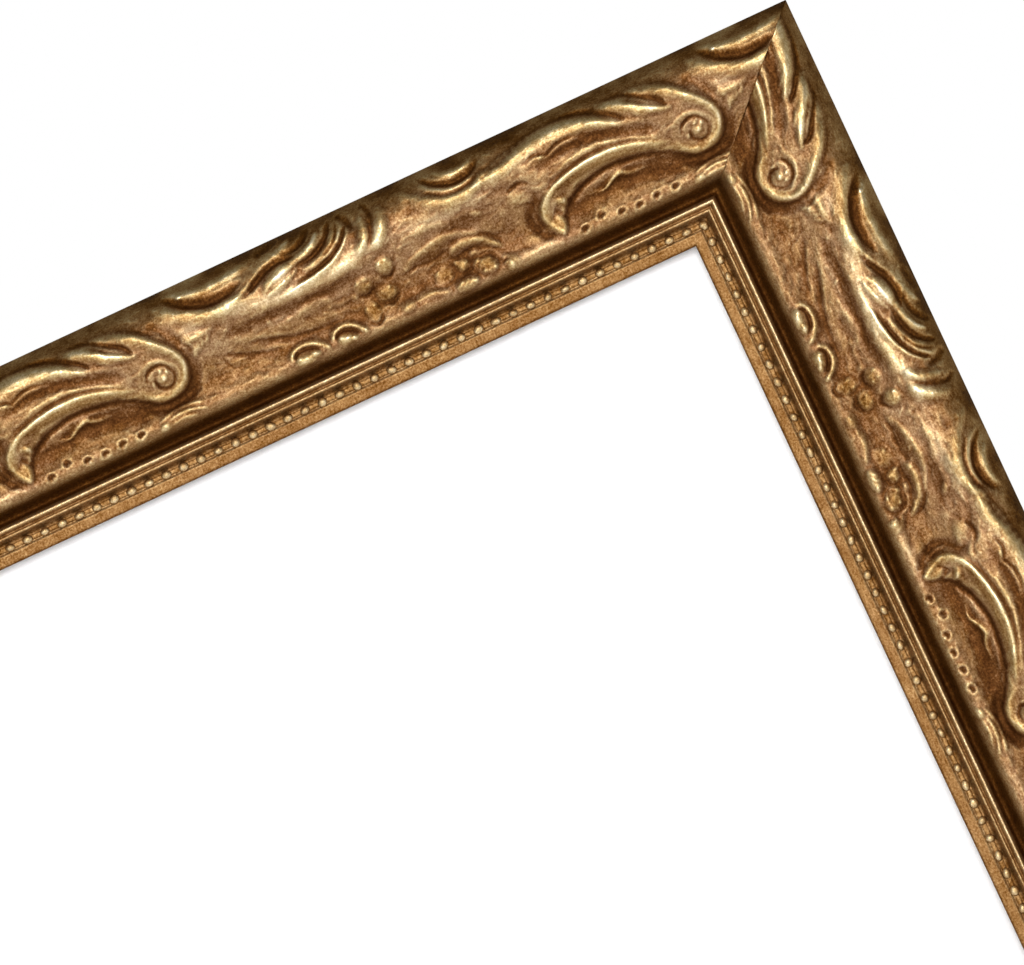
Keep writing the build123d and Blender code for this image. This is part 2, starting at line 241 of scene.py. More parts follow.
# Large swells along the crest and the sunk panels beside them
stroke(swell, [(18, 38.5), (30, 36), (42, 34.5), (54, 34.5), (64, 36.5), (72, 39)], [0.5, 1.1, 1], 5.5, 4.5,
       1)
stroke(swell, [(74, 40), (84, 38.5), (94, 37.5), (104, 38.5)], [0.4, 0.9, 0.5], 5, 4.5, 1)
stroke(cuts, [(-42, 21.6), (-33, 24), (-24, 24.6), (-15, 23.6), (-7, 20.4)], [0.4, 0.8, 0.8, 0.4], 5.4, 4.6,
       1)
stroke(cuts, [(-44, 36.4), (-36, 38.4), (-27, 38.6), (-16, 35.6), (-8, 33)], [0.4, 0.9, 0.9, 0.5],
       [2.2, 3, 2.2], [2.6, 3, 2.6], 1)
stroke(cuts, [(20, 31), (34, 31.4), (46, 30.8), (60, 31)], [0.2, 0.5, 0.5, 0.3], 2.4, 3, 1)
stroke(cuts, [(-58, 34), (-66, 31), (-74, 29)], [0.2, 0.5, 0.2], 4, 4, 1)

# Outer arc, steep towards the outer edge, and the lobe after it
stroke(ridges, [(-62, 40.1), (-57.6, 41.4), (-53.7, 40.7), (-50.3, 41.4), (-45.9, 43.2), (-41.4, 44.4),
       (-37, 44.9), (-32.6, 44.7), (-28.7, 43.7), (-24.2, 41.9), (-20.9, 39.9), (-17.6, 37.9)],
       [0.5, 0.8, 0.9, 1.1, 1.15, 0.7], [1.2, 1.5, 1.7, 1.5, 1], [2.8, 3.8, 4.6, 3.6, 1.8], (0.3, 0.9),
       ends=0.14)
stroke(ridges, [(-22.8, 45.8), (-19.8, 45), (-17, 43.7), (-13.7, 41.5), (-10.3, 39.5), (-6.2, 37.6),
       (-3, 36.6)], [0.8, 1.1, 1.2, 1.1, 0.6], [1, 1.3, 1.4, 1.1, 0.8], [1.6, 2.6, 2.8, 1.8, 1.2],
       (0.3, 0.8), ends=0.2)
stroke(ridges, [(-30, 43.4), (-26, 41.6), (-22.6, 39.4), (-19.6, 37)], [0.4, 0.7, 0.4], 0.4, 0.9,
       (0.2, 0.8), ends=0.3)
stroke(ridges, [(-15.6, 41.2), (-12.4, 38.9), (-8.6, 37.2)], [0.4, 0.7, 0.4], 0.4, 0.9, (0.2, 0.8),
       ends=0.3)
stroke(cuts, [(-33, 46.8), (-27, 45.7), (-22.6, 43.6), (-19.2, 41.5), (-16.2, 38.9)], [0.4, 0.9, 1, 0.7],
       [0.9, 1.2, 0.8], [0.7, 0.8, 0.7], (0.8, 0.3))
stroke(cuts, [(-17.6, 46.4), (-13, 44.4), (-9, 42), (-5.8, 39.9), (-4.4, 37.4)], [0.4, 0.9, 0.9, 0.6],
       [0.9, 1.3, 0.8], [0.7, 0.8, 0.7], (0.8, 0.3))

# Volute: its stem comes from the outer edge and winds in to the eye
stroke(ridges, [(-9, 45), (-5.5, 43.4), (-3.1, 41.9), (-0.9, 40.1), (1.9, 37.5), (4.7, 34.8), (6.4, 32.3),
       (7, 29.7), (6.3, 27), (4.2, 24.8), (0.6, 23.5)], [0.4, 0.65, 0.8, 0.6, 0.75, 0.5], [1, 1.4, 1.2, 1],
       [2, 2.8, 2.4, 1.5, 1.1], (0.5, 0.9), ends=0.08)
stroke(ridges, [(0.2, 23.3), (-3.5, 24.2), (-5.9, 26.6), (-6.2, 29.4), (-4.8, 32), (-1.6, 33.3),
       (1.8, 32.6), (3.9, 29.9)], [0.15, 0.15, 0.2, 0.35, 0.45], [0.6, 0.7, 0.7], [0.8, 0.9, 0.7],
       (0.3, 0.6), ends=0.12)
boss(ridges, 0.2, 28.4, 4, 3.4, 0.5, 20, 0.6)
for p, q, size, high in (
    (0.6, 28, 2.5, 1), (1.9, 29.4, 1.5, 0.8), (0.3, 30.2, 1.5, 0.85), (-2.6, 27.6, 1.6, 0.6),
):
    boss(ridges, p, q, size, size * 0.8, high, 50 * p, 0.4)
stroke(cuts, [(-3.9, 28.6), (-3.6, 30.4), (-1.8, 31.7), (0.7, 31.9), (2.9, 30.5), (3.6, 28.2), (2.7, 26.2),
       (0.6, 25.4), (-1.3, 26.3), (-1.8, 28.2), (-0.9, 29.6)], [0.3, 0.9, 1, 0.8, 0.4, 0.5, 0.8, 0.8, 0.3],
       0.5, 0.5, (0.3, 0.4))
stroke(ridges, [(3.4, 31.9), (5, 29.6), (4.6, 26.8), (2.6, 25)], [0.2, 0.4, 0.3], 0.5, 0.5, 0.6)
stroke(cuts, [(-13, 25.6), (-8, 23.2), (-3.6, 21), (0.6, 20.4), (5.6, 21.4), (8.6, 24.4), (9.8, 28.4),
       (9.2, 32)], [0.3, 0.8, 1, 1, 0.7, 0.3], [2.2, 2.4, 2.2], [2, 2.6, 2], (0.7, 1))
stroke(cuts, [(1.6, 43.2), (5.6, 39.2), (9, 34.6)], [0.3, 0.7, 0.4], [2.2, 2.8, 2.2], 1.4, (1, 0.6))

# Great scroll: a fat crook at its head, steep below and flowing above, running into the volute
stroke(ridges, [(-43.2, 18), (-44.8, 19.6), (-46.2, 21.8), (-46.8, 24.4), (-46, 26.8), (-43.8, 28.9),
       (-40.2, 30.8), (-35.3, 32.2), (-29.8, 33), (-24.2, 33.1), (-19.8, 32.5), (-15.3, 31.2),
       (-10.9, 29.6), (-7, 28.5)], [0.2, 0.5, 0.8, 1, 1.1, 1, 0.9, 0.8, 0.4],
       [1, 1.2, 1.3, 1.3, 1.2, 1.2, 1.1, 0.9, 0.8], [1.2, 2, 3.2, 3.6, 3.4, 3.2, 2.8, 2.2, 1.4], (0.4, 1),
       ends=0.08)
stroke(cuts, [(-45.2, 25.4), (-43, 28), (-39.6, 29.9), (-35, 31.2), (-29.6, 32), (-24, 32.1), (-19, 31.3)],
       [0.1, 0.3, 0.35, 0.3, 0.1], 0.35, 0.35, 0.3)
stroke(cuts, [(-44.2, 29.9), (-40.4, 31.9), (-35.4, 33.2), (-30, 33.9), (-24, 34), (-18, 32.7)],
       [0.1, 0.3, 0.35, 0.3, 0.1], 0.35, 0.45, (0.3, 0.5))
stroke(cuts, [(-39, 32.3), (-34, 33.8), (-29, 34.6), (-23.6, 34.6), (-18, 33.4), (-12.6, 31.2)],
       [0.2, 0.4, 0.4, 0.2], 0.6, 0.7, 0.4)
stroke(ridges, [(-44, 27), (-42, 26.9), (-40.4, 26), (-39.9, 24.6)], [0.4, 0.9, 0.6], [1.2, 1.2, 0.8],
       [1.2, 1.3, 0.9], 0.4)
stroke(cuts, [(-44, 24.8), (-42.6, 23.6), (-41.6, 21.8)], [0.4, 0.8, 0.5], [1, 1.2, 0.9], soft=0.7)
stroke(cuts, [(-39.6, 22.6), (-38, 25), (-36, 26.4), (-33.1, 27.8), (-27.6, 29), (-22, 29), (-16.4, 28),
       (-12, 26.2)], [0.4, 0.8, 0.9, 0.8, 0.4], 0.8, [1.4, 1.8, 1.4], (0.3, 1))
stroke(cuts, [(-48, 29.6), (-50.2, 27), (-50.6, 23.6), (-49, 20), (-46, 17.6)], [0.2, 0.6, 0.7, 0.4], 1,
       [1.6, 2.2, 1.6], (0.3, 1))
stroke(ridges, [(-42, 32.9), (-39.8, 33.8), (-34.2, 35.4), (-27.6, 35.9), (-23.1, 35.4), (-17.6, 34),
       (-12, 31.7), (-8.7, 30)], [0.2, 0.4, 0.4, 0.35, 0.2], [0.7, 0.9, 0.8], [1.2, 1.6, 1.4], (0.4, 0.9))

# Wavy veins in the two panels
stroke(cuts, [(-46.4, 39.4), (-43.2, 40.6), (-40.8, 40), (-39.4, 39.4), (-37.6, 40.3), (-35.8, 40.9),
       (-33.2, 41.1), (-30.8, 40.6), (-27, 40.4), (-24, 40)], [0.3, 0.6, 0.7, 0.7, 0.6, 0.3], 0.38, 0.42,
       (0.2, 0.4))
stroke(ridges, [(-46, 38.6), (-43.2, 39.7), (-40.8, 39.1), (-39.4, 38.5), (-37.4, 39.4), (-34, 40.2),
       (-30.6, 39.7), (-26, 39.4)], [0.2, 0.35, 0.35, 0.35, 0.2], 0.5, 1, (0.3, 1))
stroke(ridges, [(-36.4, 25.4), (-33, 25), (-30.8, 24.6), (-28.9, 24.4), (-27, 25.3), (-25.1, 26.2),
       (-23.2, 26.4), (-21.6, 25.6), (-19.5, 25.2), (-15.8, 25.2)], [0.2, 0.4, 0.9, 1, 0.8, 0.4],
       [0.6, 0.7, 1.3, 0.8], 0.6, (0.6, 0.2))
stroke(cuts, [(-36.4, 24.2), (-32.6, 23.4), (-28.9, 23.2), (-27, 24), (-24.5, 24.8), (-22, 24.2),
       (-19, 23.8), (-15, 24)], [0.2, 0.6, 0.7, 0.6, 0.2], 0.45, 0.9, (0.2, 0.9))

# Rim: six small ringed pits, a leaf, two ovals and the worn lumps between them
for p, q in ((-38.1, 16.8), (-32.8, 18.4), (-27.3, 16.8), (-22.2, 16.4), (-16.9, 16.9), (-11.3, 16.9)):
    hoop(ridges, p, q, 2.7, 2.4, 0.26, 0.7)
    boss(cuts, p, q, 2.7, 2.4, 0.6)
    boss(ridges, p + 0.4, q - 0.6, 1.6, 1.3, 0.75, soft=0.4)
    boss(ridges, p - 1.5, q - 0.8, 1.8, 1.3, 0.35, -30, 0.6)
boss(ridges, -4.4, 16, 4, 3, 0.8, 20, 0.4)
for rib in (
    [(-5.6, 17.6), (-1, 19.2), (4.2, 19.2), (8.4, 18)],
    [(-3.6, 17.2), (0.6, 17.9), (5, 17.4), (8.6, 15.8)],
    [(-2.6, 16), (1.4, 16.4), (5, 15.6)],
):
    stroke(ridges, rib, [0.4, 0.7, 0.3], [0.4, 0.5, 0.4], [0.8, 1.1, 0.7], (0.2, 0.8))
for plate_form, lumps, groove, rim in (
    ((38.7, 17.4, 11.8, 6.4, 0.6, -7), ((37.4, 16.4, 6.6, 3.4), (40.4, 17, 3.6, 2.6), (35.8, 17.2, 2.6, 2)),
     [(34.6, 17.4), (35.6, 18.9), (37.8, 19.3), (40.4, 18.8), (42.6, 17.4)],
     [(33.6, 17.2), (34.6, 19.6), (37.8, 20.6), (41.2, 19.9), (44, 17.8), (44.6, 16)]),
    ((50.6, 17.5, 10.6, 6.2, 0.6, -10),
     ((49.6, 17, 5.4, 3.6), (48.4, 17.8, 2.8, 2.2), (51.8, 16.4, 2.8, 2)),
     [(46.9, 17.6), (47.9, 19.1), (50, 19.5), (52.4, 18.5), (54, 16.8)],
     [(45.9, 17.6), (47, 19.9), (50, 20.8), (53, 19.8), (55.2, 17.4), (55.4, 15.8)]),
):
    boss(bodies, *plate_form, 0.4)
    for p, q, along, across in lumps:
        boss(ridges, p, q, along, across, 1, -5, 0.5)
    stroke(cuts, groove, [0.3, 0.9, 1, 0.8, 0.3], 0.5, 0.7, (0.3, 0.5))
    stroke(ridges, rim, [0.3, 0.6, 0.75, 0.8, 0.8, 0.5], 1.1, 1, (0.7, 0.5))
boss(ridges, 68.5, 17.8, 4.8, 4, 0.7, soft=0.6)
stroke(ridges, [(71, 18.2), (74, 18.8), (77, 18), (81, 16.5)], [0.3, 0.6, 0.4], [1.2, 1.6, 1.2], soft=0.8)

# Four pearls and the bump beside them
for p, q, along, across, height, turn in (
    (59.7, 28.3, 6, 4.9, 1, 15), (67.1, 30.8, 5.4, 5.4, 1.3, 60), (65, 23.8, 6.2, 4.6, 1.1, -12),
    (59.3, 21, 5, 6.4, 0.9, 0),
):
    boss(ridges, p, q, along, across, height * 0.8, turn, 0.1)
    for dp, dq, size in (
        (-1.3, 0.7, 2.2), (0.8, 1.1, 1.9), (-0.2, -1.2, 2), (1.5, -0.5, 1.7), (0.1, 0.2, 1.5),
    ):
        boss(ridges, p + dp, q + dq, size, size * 0.8, height * 0.8 + 0.22, 40 * dp, 0.5)
    stroke(cuts, [(p - along * 0.42, q - across * 0.34), (p, q - across * 0.62),
           (p + along * 0.46, q - across * 0.3)], [0.2, 0.7, 0.3], 0.4, 0.9, (0.2, 0.6))
boss(ridges, 56.5, 26.4, 2.4, 2.2, 0.4, soft=0.6)

# Twig and berry cluster
stroke(ridges, [(71, 27), (75, 29.2), (80, 30.4), (86, 30.8), (91, 29.3), (95.4, 26.6)],
       [0.2, 0.5, 0.6, 0.4], [0.7, 0.9, 0.7], [1.4, 2.4, 1.6], (0.3, 1))
stroke(cuts, [(70.5, 26), (75, 26.8), (80, 26.5), (84, 27.4)], [0.2, 0.4, 0.2], 0.5, 1, (0.3, 0.9))
stroke(ridges, [(73, 34.2), (77, 35), (82, 35), (87.5, 34.2)], [0.2, 0.4, 0.3], [0.9, 1.2, 0.9],
       [1.4, 2, 1.4], (0.7, 1))
boss(ridges, 95.4, 32.9, 3.8, 2.2, 0.7, -15, 0.4)
stroke(ridges, [(84.3, 26), (87, 27.2), (90.5, 27.1), (93.6, 26.1), (96.4, 24), (98.6, 21.6)],
       [0.6, 0.9, 0.8, 0.5], [1.1, 1.4, 1.1, 0.6], [1.4, 2, 1.5, 0.8], (0.3, 0.6))
stroke(cuts, [(84.4, 24.4), (86.8, 24.5), (90, 25), (94, 24.3)], [0.3, 0.6, 0.3], 0.5, 0.8, (0.2, 0.6))
stroke(cuts, [(90, 28.6), (94, 27.6), (97, 25.8), (99.2, 22.8)], [0.2, 0.6, 0.3], 0.8, 0.5, (0.8, 0.1))
for p, q, along, across, height, turn in (
    (86.4, 22, 4.6, 4, 1, 0), (80.8, 21.6, 7, 5.2, 0.7, 25), (92.2, 19.8, 7.4, 6.2, 1.2, -25),
    (85.4, 16.9, 7.4, 4.2, 1.1, 4), (98.6, 16.8, 3.6, 4.4, 0.9, 0), (90.4, 24, 3.4, 2.4, 0.6, 10),
):
    boss(ridges, p, q, along, across, height, turn, 0.3)
    hoop(cuts, p + 0.2, q - 0.4, along + 0.2, across + 0.2, 0.12, 0.5, turn)
for p, q, size, high in (
    (79.2, 22.4, 3, 0.9), (82, 20.4, 2.8, 0.85), (85, 23, 2.4, 1.2), (87.4, 22.2, 2.4, 1.15),
    (86.2, 20.9, 2.2, 1.1), (90.6, 21.2, 3, 1.35), (93.6, 20.6, 2.8, 1.4), (91.4, 18.2, 3, 1.3),
    (94.2, 18, 2.6, 1.3), (84.2, 17.4, 3.4, 1.2), (87.8, 16.8, 3.2, 1.25), (97.6, 17.6, 2.2, 1),
):
    boss(ridges, p, q, size, size * 0.85, high * 0.88, 15, 0.7)
stroke(ridges, [(96.4, 19.6), (99.2, 18.6), (100.6, 16.4), (99, 14.6)], [0.3, 0.6, 0.3], [0.7, 0.9, 0.7],
       soft=(0.4, 0.6))
stroke(cuts, [(89.6, 19.2), (91, 21.4), (93.6, 21.6), (95.2, 19.8)], [0.2, 0.4, 0.2], 0.5, 0.5, 0.3)
stroke(ridges, [(88.4, 18.6), (89.6, 21.8), (92.6, 23.2), (95.8, 21.8), (97, 18.8)],
       [0.2, 0.5, 0.6, 0.4, 0.2], 0.5, 0.6, (0.4, 0.6))
for k in range(3):
    stroke(cuts, [(83.2 + 1.6 * k, 15.8), (84.6 + 1.6 * k, 17), (85.6 + 1.6 * k, 18.4)], [0.1, 0.35, 0.1],
           0.3, 0.3)

# First outer scoop: its lip, the dark hollow beyond it and the leaf inside
stroke(ridges, [(4.6, 46.6), (6.4, 45.5), (9, 43.5), (12, 41.6), (16, 39.8), (20, 38.9), (25, 39.1),
       (29, 39.9), (32.5, 41.6)], [0.5, 0.8, 1, 1, 0.7], [1.1, 1.4, 1.4, 1.1], [2.4, 4, 5, 4, 2.4],
       (0.5, 1), ends=0.08)
stroke(cuts, [(7.6, 47.8), (10.4, 45.8), (13.4, 43.9), (17, 42.2), (21.4, 41.4), (26, 41.8), (30.4, 43.2)],
       [0.4, 1.3, 1.6, 1.4, 0.6], [1.8, 2.6, 2.6, 1.8], [1, 1.3, 1.3, 1], (0.8, 0.1))
# Painted shadow in the scoop's hollow, together with the dark glaze
stroke(wash_and_shadow, [(7.6, 47.8), (10.4, 45.8), (13.4, 43.9), (17, 42.4), (21.4, 41.7), (26, 42.1), (30.4, 43.5)],
       [0.1, 0.22, 0.25, 0.22, 0.1], 2.2, 1, (0.9, 0.8))
stroke(ridges, [(10.8, 47.6), (14, 46.6), (19, 45.9), (25, 45.9), (31, 46.6), (35, 47.6)],
       [0.4, 0.8, 0.8, 0.4], [1.4, 1.8, 1.4], [1.2, 1.6, 1.2], (0.9, 0.5))
boss(ridges, 13.1, 46.3, 2.2, 1.6, 1.2, soft=0.2)
stroke(cuts, [(27.4, 38.6), (31, 39.6), (34.6, 41.3), (38, 42.8), (42, 43.5), (46.4, 43.1)],
       [0.4, 1.1, 1.3, 0.8], [1.3, 1.9, 1.4], [0.7, 0.9, 0.8], (0.8, 0.05))
# Painted shadow along the second groove, together with the dark glaze
stroke(wash_and_shadow, [(29, 39.4), (34.6, 41.8), (38, 43.3), (42, 44.1), (46.4, 43.9)], [0.1, 0.22, 0.22, 0.1], 1.8,
       0.8, (0.9, 0.8))

# Shell lobe with fine lines, and the fan of ridges beside it
boss(bodies, 40.2, 39.4, 13, 5.8, 1.5, 22, 0.2)
for k in range(6):
    a = 34.4 + 1.7 * k
    stroke(cuts, [(a, 36.4 + 0.5 * k), (a + 2.6, 38 + 0.5 * k), (a + 5.8, 39.7 + 0.34 * k)],
           [0.3, 0.8, 0.3], 0.42, 0.42, 0.3)
# Along the fan, painted highlights on the ridges and painted shadow in the hollows, beside real rubbing and
# glaze
for ridge, hollow, high in (
    ([(38.4, 34.2), (46, 35.7), (51, 36.8), (55.4, 38.4), (59, 40.8), (62, 44.4)],
     [(42.2, 35.9), (48, 36.6), (53, 37.7), (57.2, 39.7), (60.2, 42.2), (62.2, 45.2)], 0.75),
    ([(46.4, 38.6), (51, 39.4), (54.8, 41.1), (57.6, 43.5), (59.4, 46.6)],
     [(46, 40.3), (50.6, 40.9), (54.2, 42.6), (56.8, 45), (58.2, 47.6)], 0.9),
    ([(43.8, 42.6), (47.8, 42.9), (51.6, 44.4), (54.4, 47)],
     [(42, 44.4), (46.6, 44.6), (50.2, 46), (52.6, 48.2)], 0.8),
    ([(36.6, 45.6), (41, 46.2), (44.6, 47.2), (47, 48.6)], [(36, 47.2), (40, 47.8), (43.6, 48.8)], 0.5),
    ([(50.6, 37.9), (55, 39.6), (58.4, 42), (60.8, 45.6)],
     [(50, 38.6), (54.4, 40.4), (57.8, 42.9), (59.8, 46.4)], 0.55),
):
    stroke(ridges, ridge, high * np.array([0.4, 0.9, 1.1, 0.7]), [0.6, 0.8, 0.6], [1.8, 2.4, 2, 1.4],
           (0.2, 1))
    stroke(cuts, hollow, high * np.array([0.4, 1.3, 1.4, 0.8]), [1.2, 1.5, 1.4], [0.4, 0.5, 0.4], (0.6, 0))
    stroke(wash_and_shadow, hollow, [0.08, 0.26, 0.34, 0.32], [1.3, 1.7, 1.6], 0.7, (0.8, 1))
    stroke(rub_and_highlight, ridge, [0.02, 0.12, 0.2, 0.16], 0.7, 1.1, 1)
stroke(cuts, [(60.8, 48.6), (62.6, 45.8), (63.4, 42.8)], [0.7, 1.2, 0.5], [1.4, 1.8, 1.3], soft=0.8)
stroke(cuts, [(67.6, 48.4), (69, 46.2), (68.8, 43.6)], [0.5, 0.9, 0.3], [0.9, 1.2, 0.9], soft=0.7)
stroke(ridges, [(61.8, 36), (64.6, 39), (66, 42.2), (66.5, 46)], [0.5, 1, 1.1, 0.6], [1.8, 2.2, 1.4],
       [1.4, 1.8, 1.3], (0.8, 0.4))
stroke(ridges, [(66.2, 35.2), (69.6, 38.4), (71.2, 41.8), (71.8, 46.2)], [0.5, 1.1, 1.2, 0.6],
       [1.8, 2.6, 1.8], [2.2, 3.2, 2.2], (0.4, 0.9))
stroke(cuts, [(65.2, 37), (67.6, 40.4), (68.8, 44)], [0.2, 0.6, 0.4], 0.5, 0.7, (0.3, 0.7))

# Second outer scoop, with a lip, a second lip inside it, and a curled leaf
stroke(ridges, [(77.4, 47.4), (81, 44.6), (84, 42.5), (88, 40.4), (92, 39.4), (96, 39.6), (99, 40.7),
       (101.8, 42.8)], [0.4, 0.8, 1, 1, 0.6], [1, 1.3, 1.3, 1], [2.2, 3.6, 4.6, 3.4, 2], (0.4, 1),
       ends=0.08)
stroke(ridges, [(84.4, 46), (87.4, 43.7), (91, 42.1), (95, 41.7), (98.8, 42.7)], [0.3, 0.6, 0.6, 0.3],
       [0.5, 0.6, 0.5], [0.8, 1, 0.8], (0.1, 0.5))
stroke(cuts, [(84.2, 48.2), (87.6, 45.3), (91.2, 43.5), (95, 43), (98.8, 43.9), (102, 46)],
       [0.5, 1.2, 1.4, 1.2, 0.5], [1.2, 1.7, 1.2], [0.7, 0.9, 0.7], (0.8, 0.1))
stroke(ridges, [(88.6, 47.9), (91, 46.5), (94.4, 45.8), (98, 46.1), (100.6, 47.3)], [0.4, 0.9, 0.9, 0.4],
       [1.3, 1.6, 1.3], [0.9, 1.2, 0.9], (0.8, 0.4))
boss(cuts, 79.6, 40.4, 9.4, 7.4, 0.5, 30, 0.9)
# Painted shadow in the second scoop's hollow and in the grooves behind the outer arc and the lobe, together
# with the dark glaze
stroke(wash_and_shadow, [(84.2, 48.4), (87.6, 45.6), (91.2, 43.9), (95, 43.4), (98.8, 44.3), (102, 46.3)],
       [0.1, 0.24, 0.24, 0.1], 1.5, 0.7, (0.9, 0.8))
stroke(wash_and_shadow, [(-33, 47.2), (-27, 46.1), (-22.6, 44.2), (-19.2, 42), (-16.2, 39.2)], [0.1, 0.2, 0.2, 0.1],
       1.1, 0.7, 0.9)
stroke(wash_and_shadow, [(-17.6, 46.6), (-13, 44.8), (-9, 42.4), (-5.8, 40.2), (-4.4, 37.6)], [0.1, 0.2, 0.2, 0.1],
       1.1, 0.7, 0.9)

# Leaf shoulder between the volute and the scoop, with the small bright leaves on it
stroke(ridges, [(8.8, 35.6), (11.4, 34.6), (15, 34.6), (19, 36.2)], [0.3, 0.7, 0.3], [1.6, 2, 1.6],
       [1, 1.4, 1], (0.9, 0.7))
boss(ridges, 10.4, 34.2, 2.8, 1.6, 0.8, -55, 0.3)
for a, b in ((0, 0), (1.3, 0.9), (2.7, 1.6), (4.3, 2)):
    stroke(ridges, [(10.2 + a, 29.4 + b), (11.4 + a, 31.4 + b), (11.8 + a, 33.6 + b)], [0.2, 0.55, 0.3],
           [0.5, 0.7, 0.5], [0.6, 0.8, 0.6], (0.2, 0.6))
stroke(cuts, [(9.4, 31.2), (10.2, 33.4), (9.4, 36.6)], [0.2, 0.4, 0.2], 0.7, 0.7, 0.6)

# Drop between two repeats, with a dark arc over it and its tail
boss(ridges, -50.6, 32.1, 8.8, 5, 0.8, -8, 0.4)
stroke(cuts, [(-53.6, 33.9), (-51.8, 35), (-49.4, 35.3), (-47, 34.2)], [0.2, 0.8, 0.4], 0.9, 0.5,
       (0.7, 0.2))
stroke(ridges, [(-47.4, 32.8), (-44.6, 31.9), (-42.2, 32.4)], [0.4, 0.2], 0.9, 0.9, 0.7)

# Lower field: shallow grooves, cracks and small leaves
stroke(cuts, [(17, 27.4), (22, 25.4), (28, 23.2), (33.6, 21.9)], [0.2, 0.5, 0.2], 0.7, 2, (0.4, 1))
stroke(cuts, [(25, 27.6), (32, 25.4), (38, 23.6), (45, 22.6), (52.4, 22.3)], [0.2, 0.6, 0.5, 0.2], 0.7, 2.2,
       (0.4, 1))
stroke(ridges, [(20, 29.4), (28, 27.6), (36, 25.8), (44, 24.6), (54, 24.2)], [0.1, 0.25, 0.25, 0.1], 2.2, 1,
       (1, 0.6))
stroke(ridges, [(39.6, 28.1), (43.6, 29.5), (47.4, 29.5), (50.4, 28.3)], [0.2, 0.5, 0.4, 0.2],
       [1.2, 1.6, 0.9], [1.4, 2.2, 1.2], (0.7, 0.9))
boss(ridges, 32.5, 30.2, 1.8, 1.5, 0.4, 0, 0.3)
boss(ridges, 49, 26.5, 1.8, 1.4, 0.4, 0, 0.3)
stroke(cuts, [(15.6, 28), (17.6, 25.4), (18.8, 22.2)], [0.1, 0.3, 0.1], 0.5, 0.5, 0.4)
stroke(ridges, [(102, 21), (108, 20.2), (114, 21.6), (118, 24)], [0.2, 0.4, 0.2], 2, 2, 1)

# Where hands and cloths have rubbed the gilding bright, and painted highlights on the great scroll, the
# volute's eye, the crest swells, the lobes and the outer arc
stroke(rub_and_highlight, [(-45.6, 27.4), (-41, 30.6), (-35, 32.4), (-29, 33.2), (-23, 33.2), (-17, 31.9)],
       [0.1, 0.14, 0.14, 0.06], 1, 0.8, 1)
boss(rub_and_highlight, 0.2, 28.2, 4.6, 4, 0.06, 0, 1)
stroke(rub_and_highlight, [(16, 38.2), (28, 36.4), (40, 34.8), (52, 34.6), (64, 36.6), (74, 37.4)],
       [0.1, 0.2, 0.22, 0.2, 0.15], 3.4, 2.6, 1)
stroke(rub_and_highlight, [(76, 36.6), (84, 36), (92, 36), (102, 38)], [0.1, 0.18, 0.1], 2.8, 2.2, 1)
stroke(rub_and_highlight, [(-62, 16.8), (-50, 16.9), (-42, 16.6)], [0.12, 0.16, 0.1], 1.6, 1.4, 1)
for place in (
    (13, 36.6, 11, 5, 0.25, -20), (41, 39.8, 11, 5.4, 0.3, 20), (68.6, 40, 9, 6, 0.25, 40),
    (-44, 26, 6, 8, 0.2, 0), (-19, 40, 7, 4, 0.18, -40), (-9, 39.4, 7, 4, 0.18, -30),
):
    boss(rub_and_highlight, *place, 1)
stroke(rub_and_highlight, [(-62, 39), (-52, 39), (-44, 41.5), (-36, 43), (-28, 42), (-20, 39)], [0.1, 0.15, 0.1], 2.2,
       2.2, 1)

# Where the dark glaze stayed, and painted shadow: the panels under the forms, the field, the undercut edges
# and, set off below each, under the pearls
stroke(wash_and_shadow, [(-43, 29.6), (-38, 30), (-32, 30.9), (-26, 31.1), (-20, 30.5), (-14, 29.2)],
       [0.1, 0.2, 0.2, 0.1], 1.2, 1.4, 1)
stroke(wash_and_shadow, [(-40, 22), (-30, 24), (-20, 24), (-10, 21.6), (0, 20.2), (8, 21.6)], [0.08, 0.14, 0.14, 0.1],
       3.4, 3.4, 1)
stroke(wash_and_shadow, [(-46, 37.4), (-36, 38.6), (-26, 38.2), (-16, 35.6)], [0.08, 0.14, 0.14, 0.1], 2.4, 2.2, 1)
stroke(wash_and_shadow, [(18, 31.5), (34, 31.6), (50, 31), (60, 33)], [0.1, 0.15, 0.15, 0.1], 2.6, 2.6, 1)
stroke(wash_and_shadow, [(72, 30), (80, 28), (90, 33), (100, 30)], [0.1, 0.12, 0.1, 0.1], 3, 4, 1)
for p, q in ((59.7, 28.3), (67.1, 30.8), (65, 23.8), (59.3, 21), (86, 21), (92.2, 19.8), (81, 21.4)):
    boss(wash_and_shadow, p + 0.4, q - 0.6, 7, 6.4, 0.1, 0, 1)

profile_q, profile_h = np.array(PROFILE).T
tile_q = np.arange(TILE_Q) * STEP


def rounded_profile(q):
    """The plain section's height, with the bends between its points softened."""
    fine = np.linspace(0, BAND_END, 2001)
    height = np.interp(fine, profile_q, profile_h)
    kernel = np.exp(-0.5 * (np.arange(-24, 25) / 7.0) ** 2)
    smooth = np.convolve(np.pad(height, 24, mode="edge"), kernel / kernel.sum(), mode="valid")
    return np.interp(q, fine, smooth)


FADE_IN = 1.6
FADE_OUT = 2.0
fade = np.clip((tile_q - BAND_START) / FADE_IN, 0, 1) * np.clip((BAND_END - tile_q) / FADE_OUT, 0, 1)
hand = np.random.default_rng(7)
uneven = sum(high * blur(hand.standard_normal(swell.shape), size) * size / STEP
             for high, size in ((0.17, 2.6), (0.17, 1.0), (0.1, 0.45)))
relief = blur(swell, 1.0) + blur(bodies, 0.2) + blur(ridges, 0.15) - blur(cuts, 0.15) + uneven

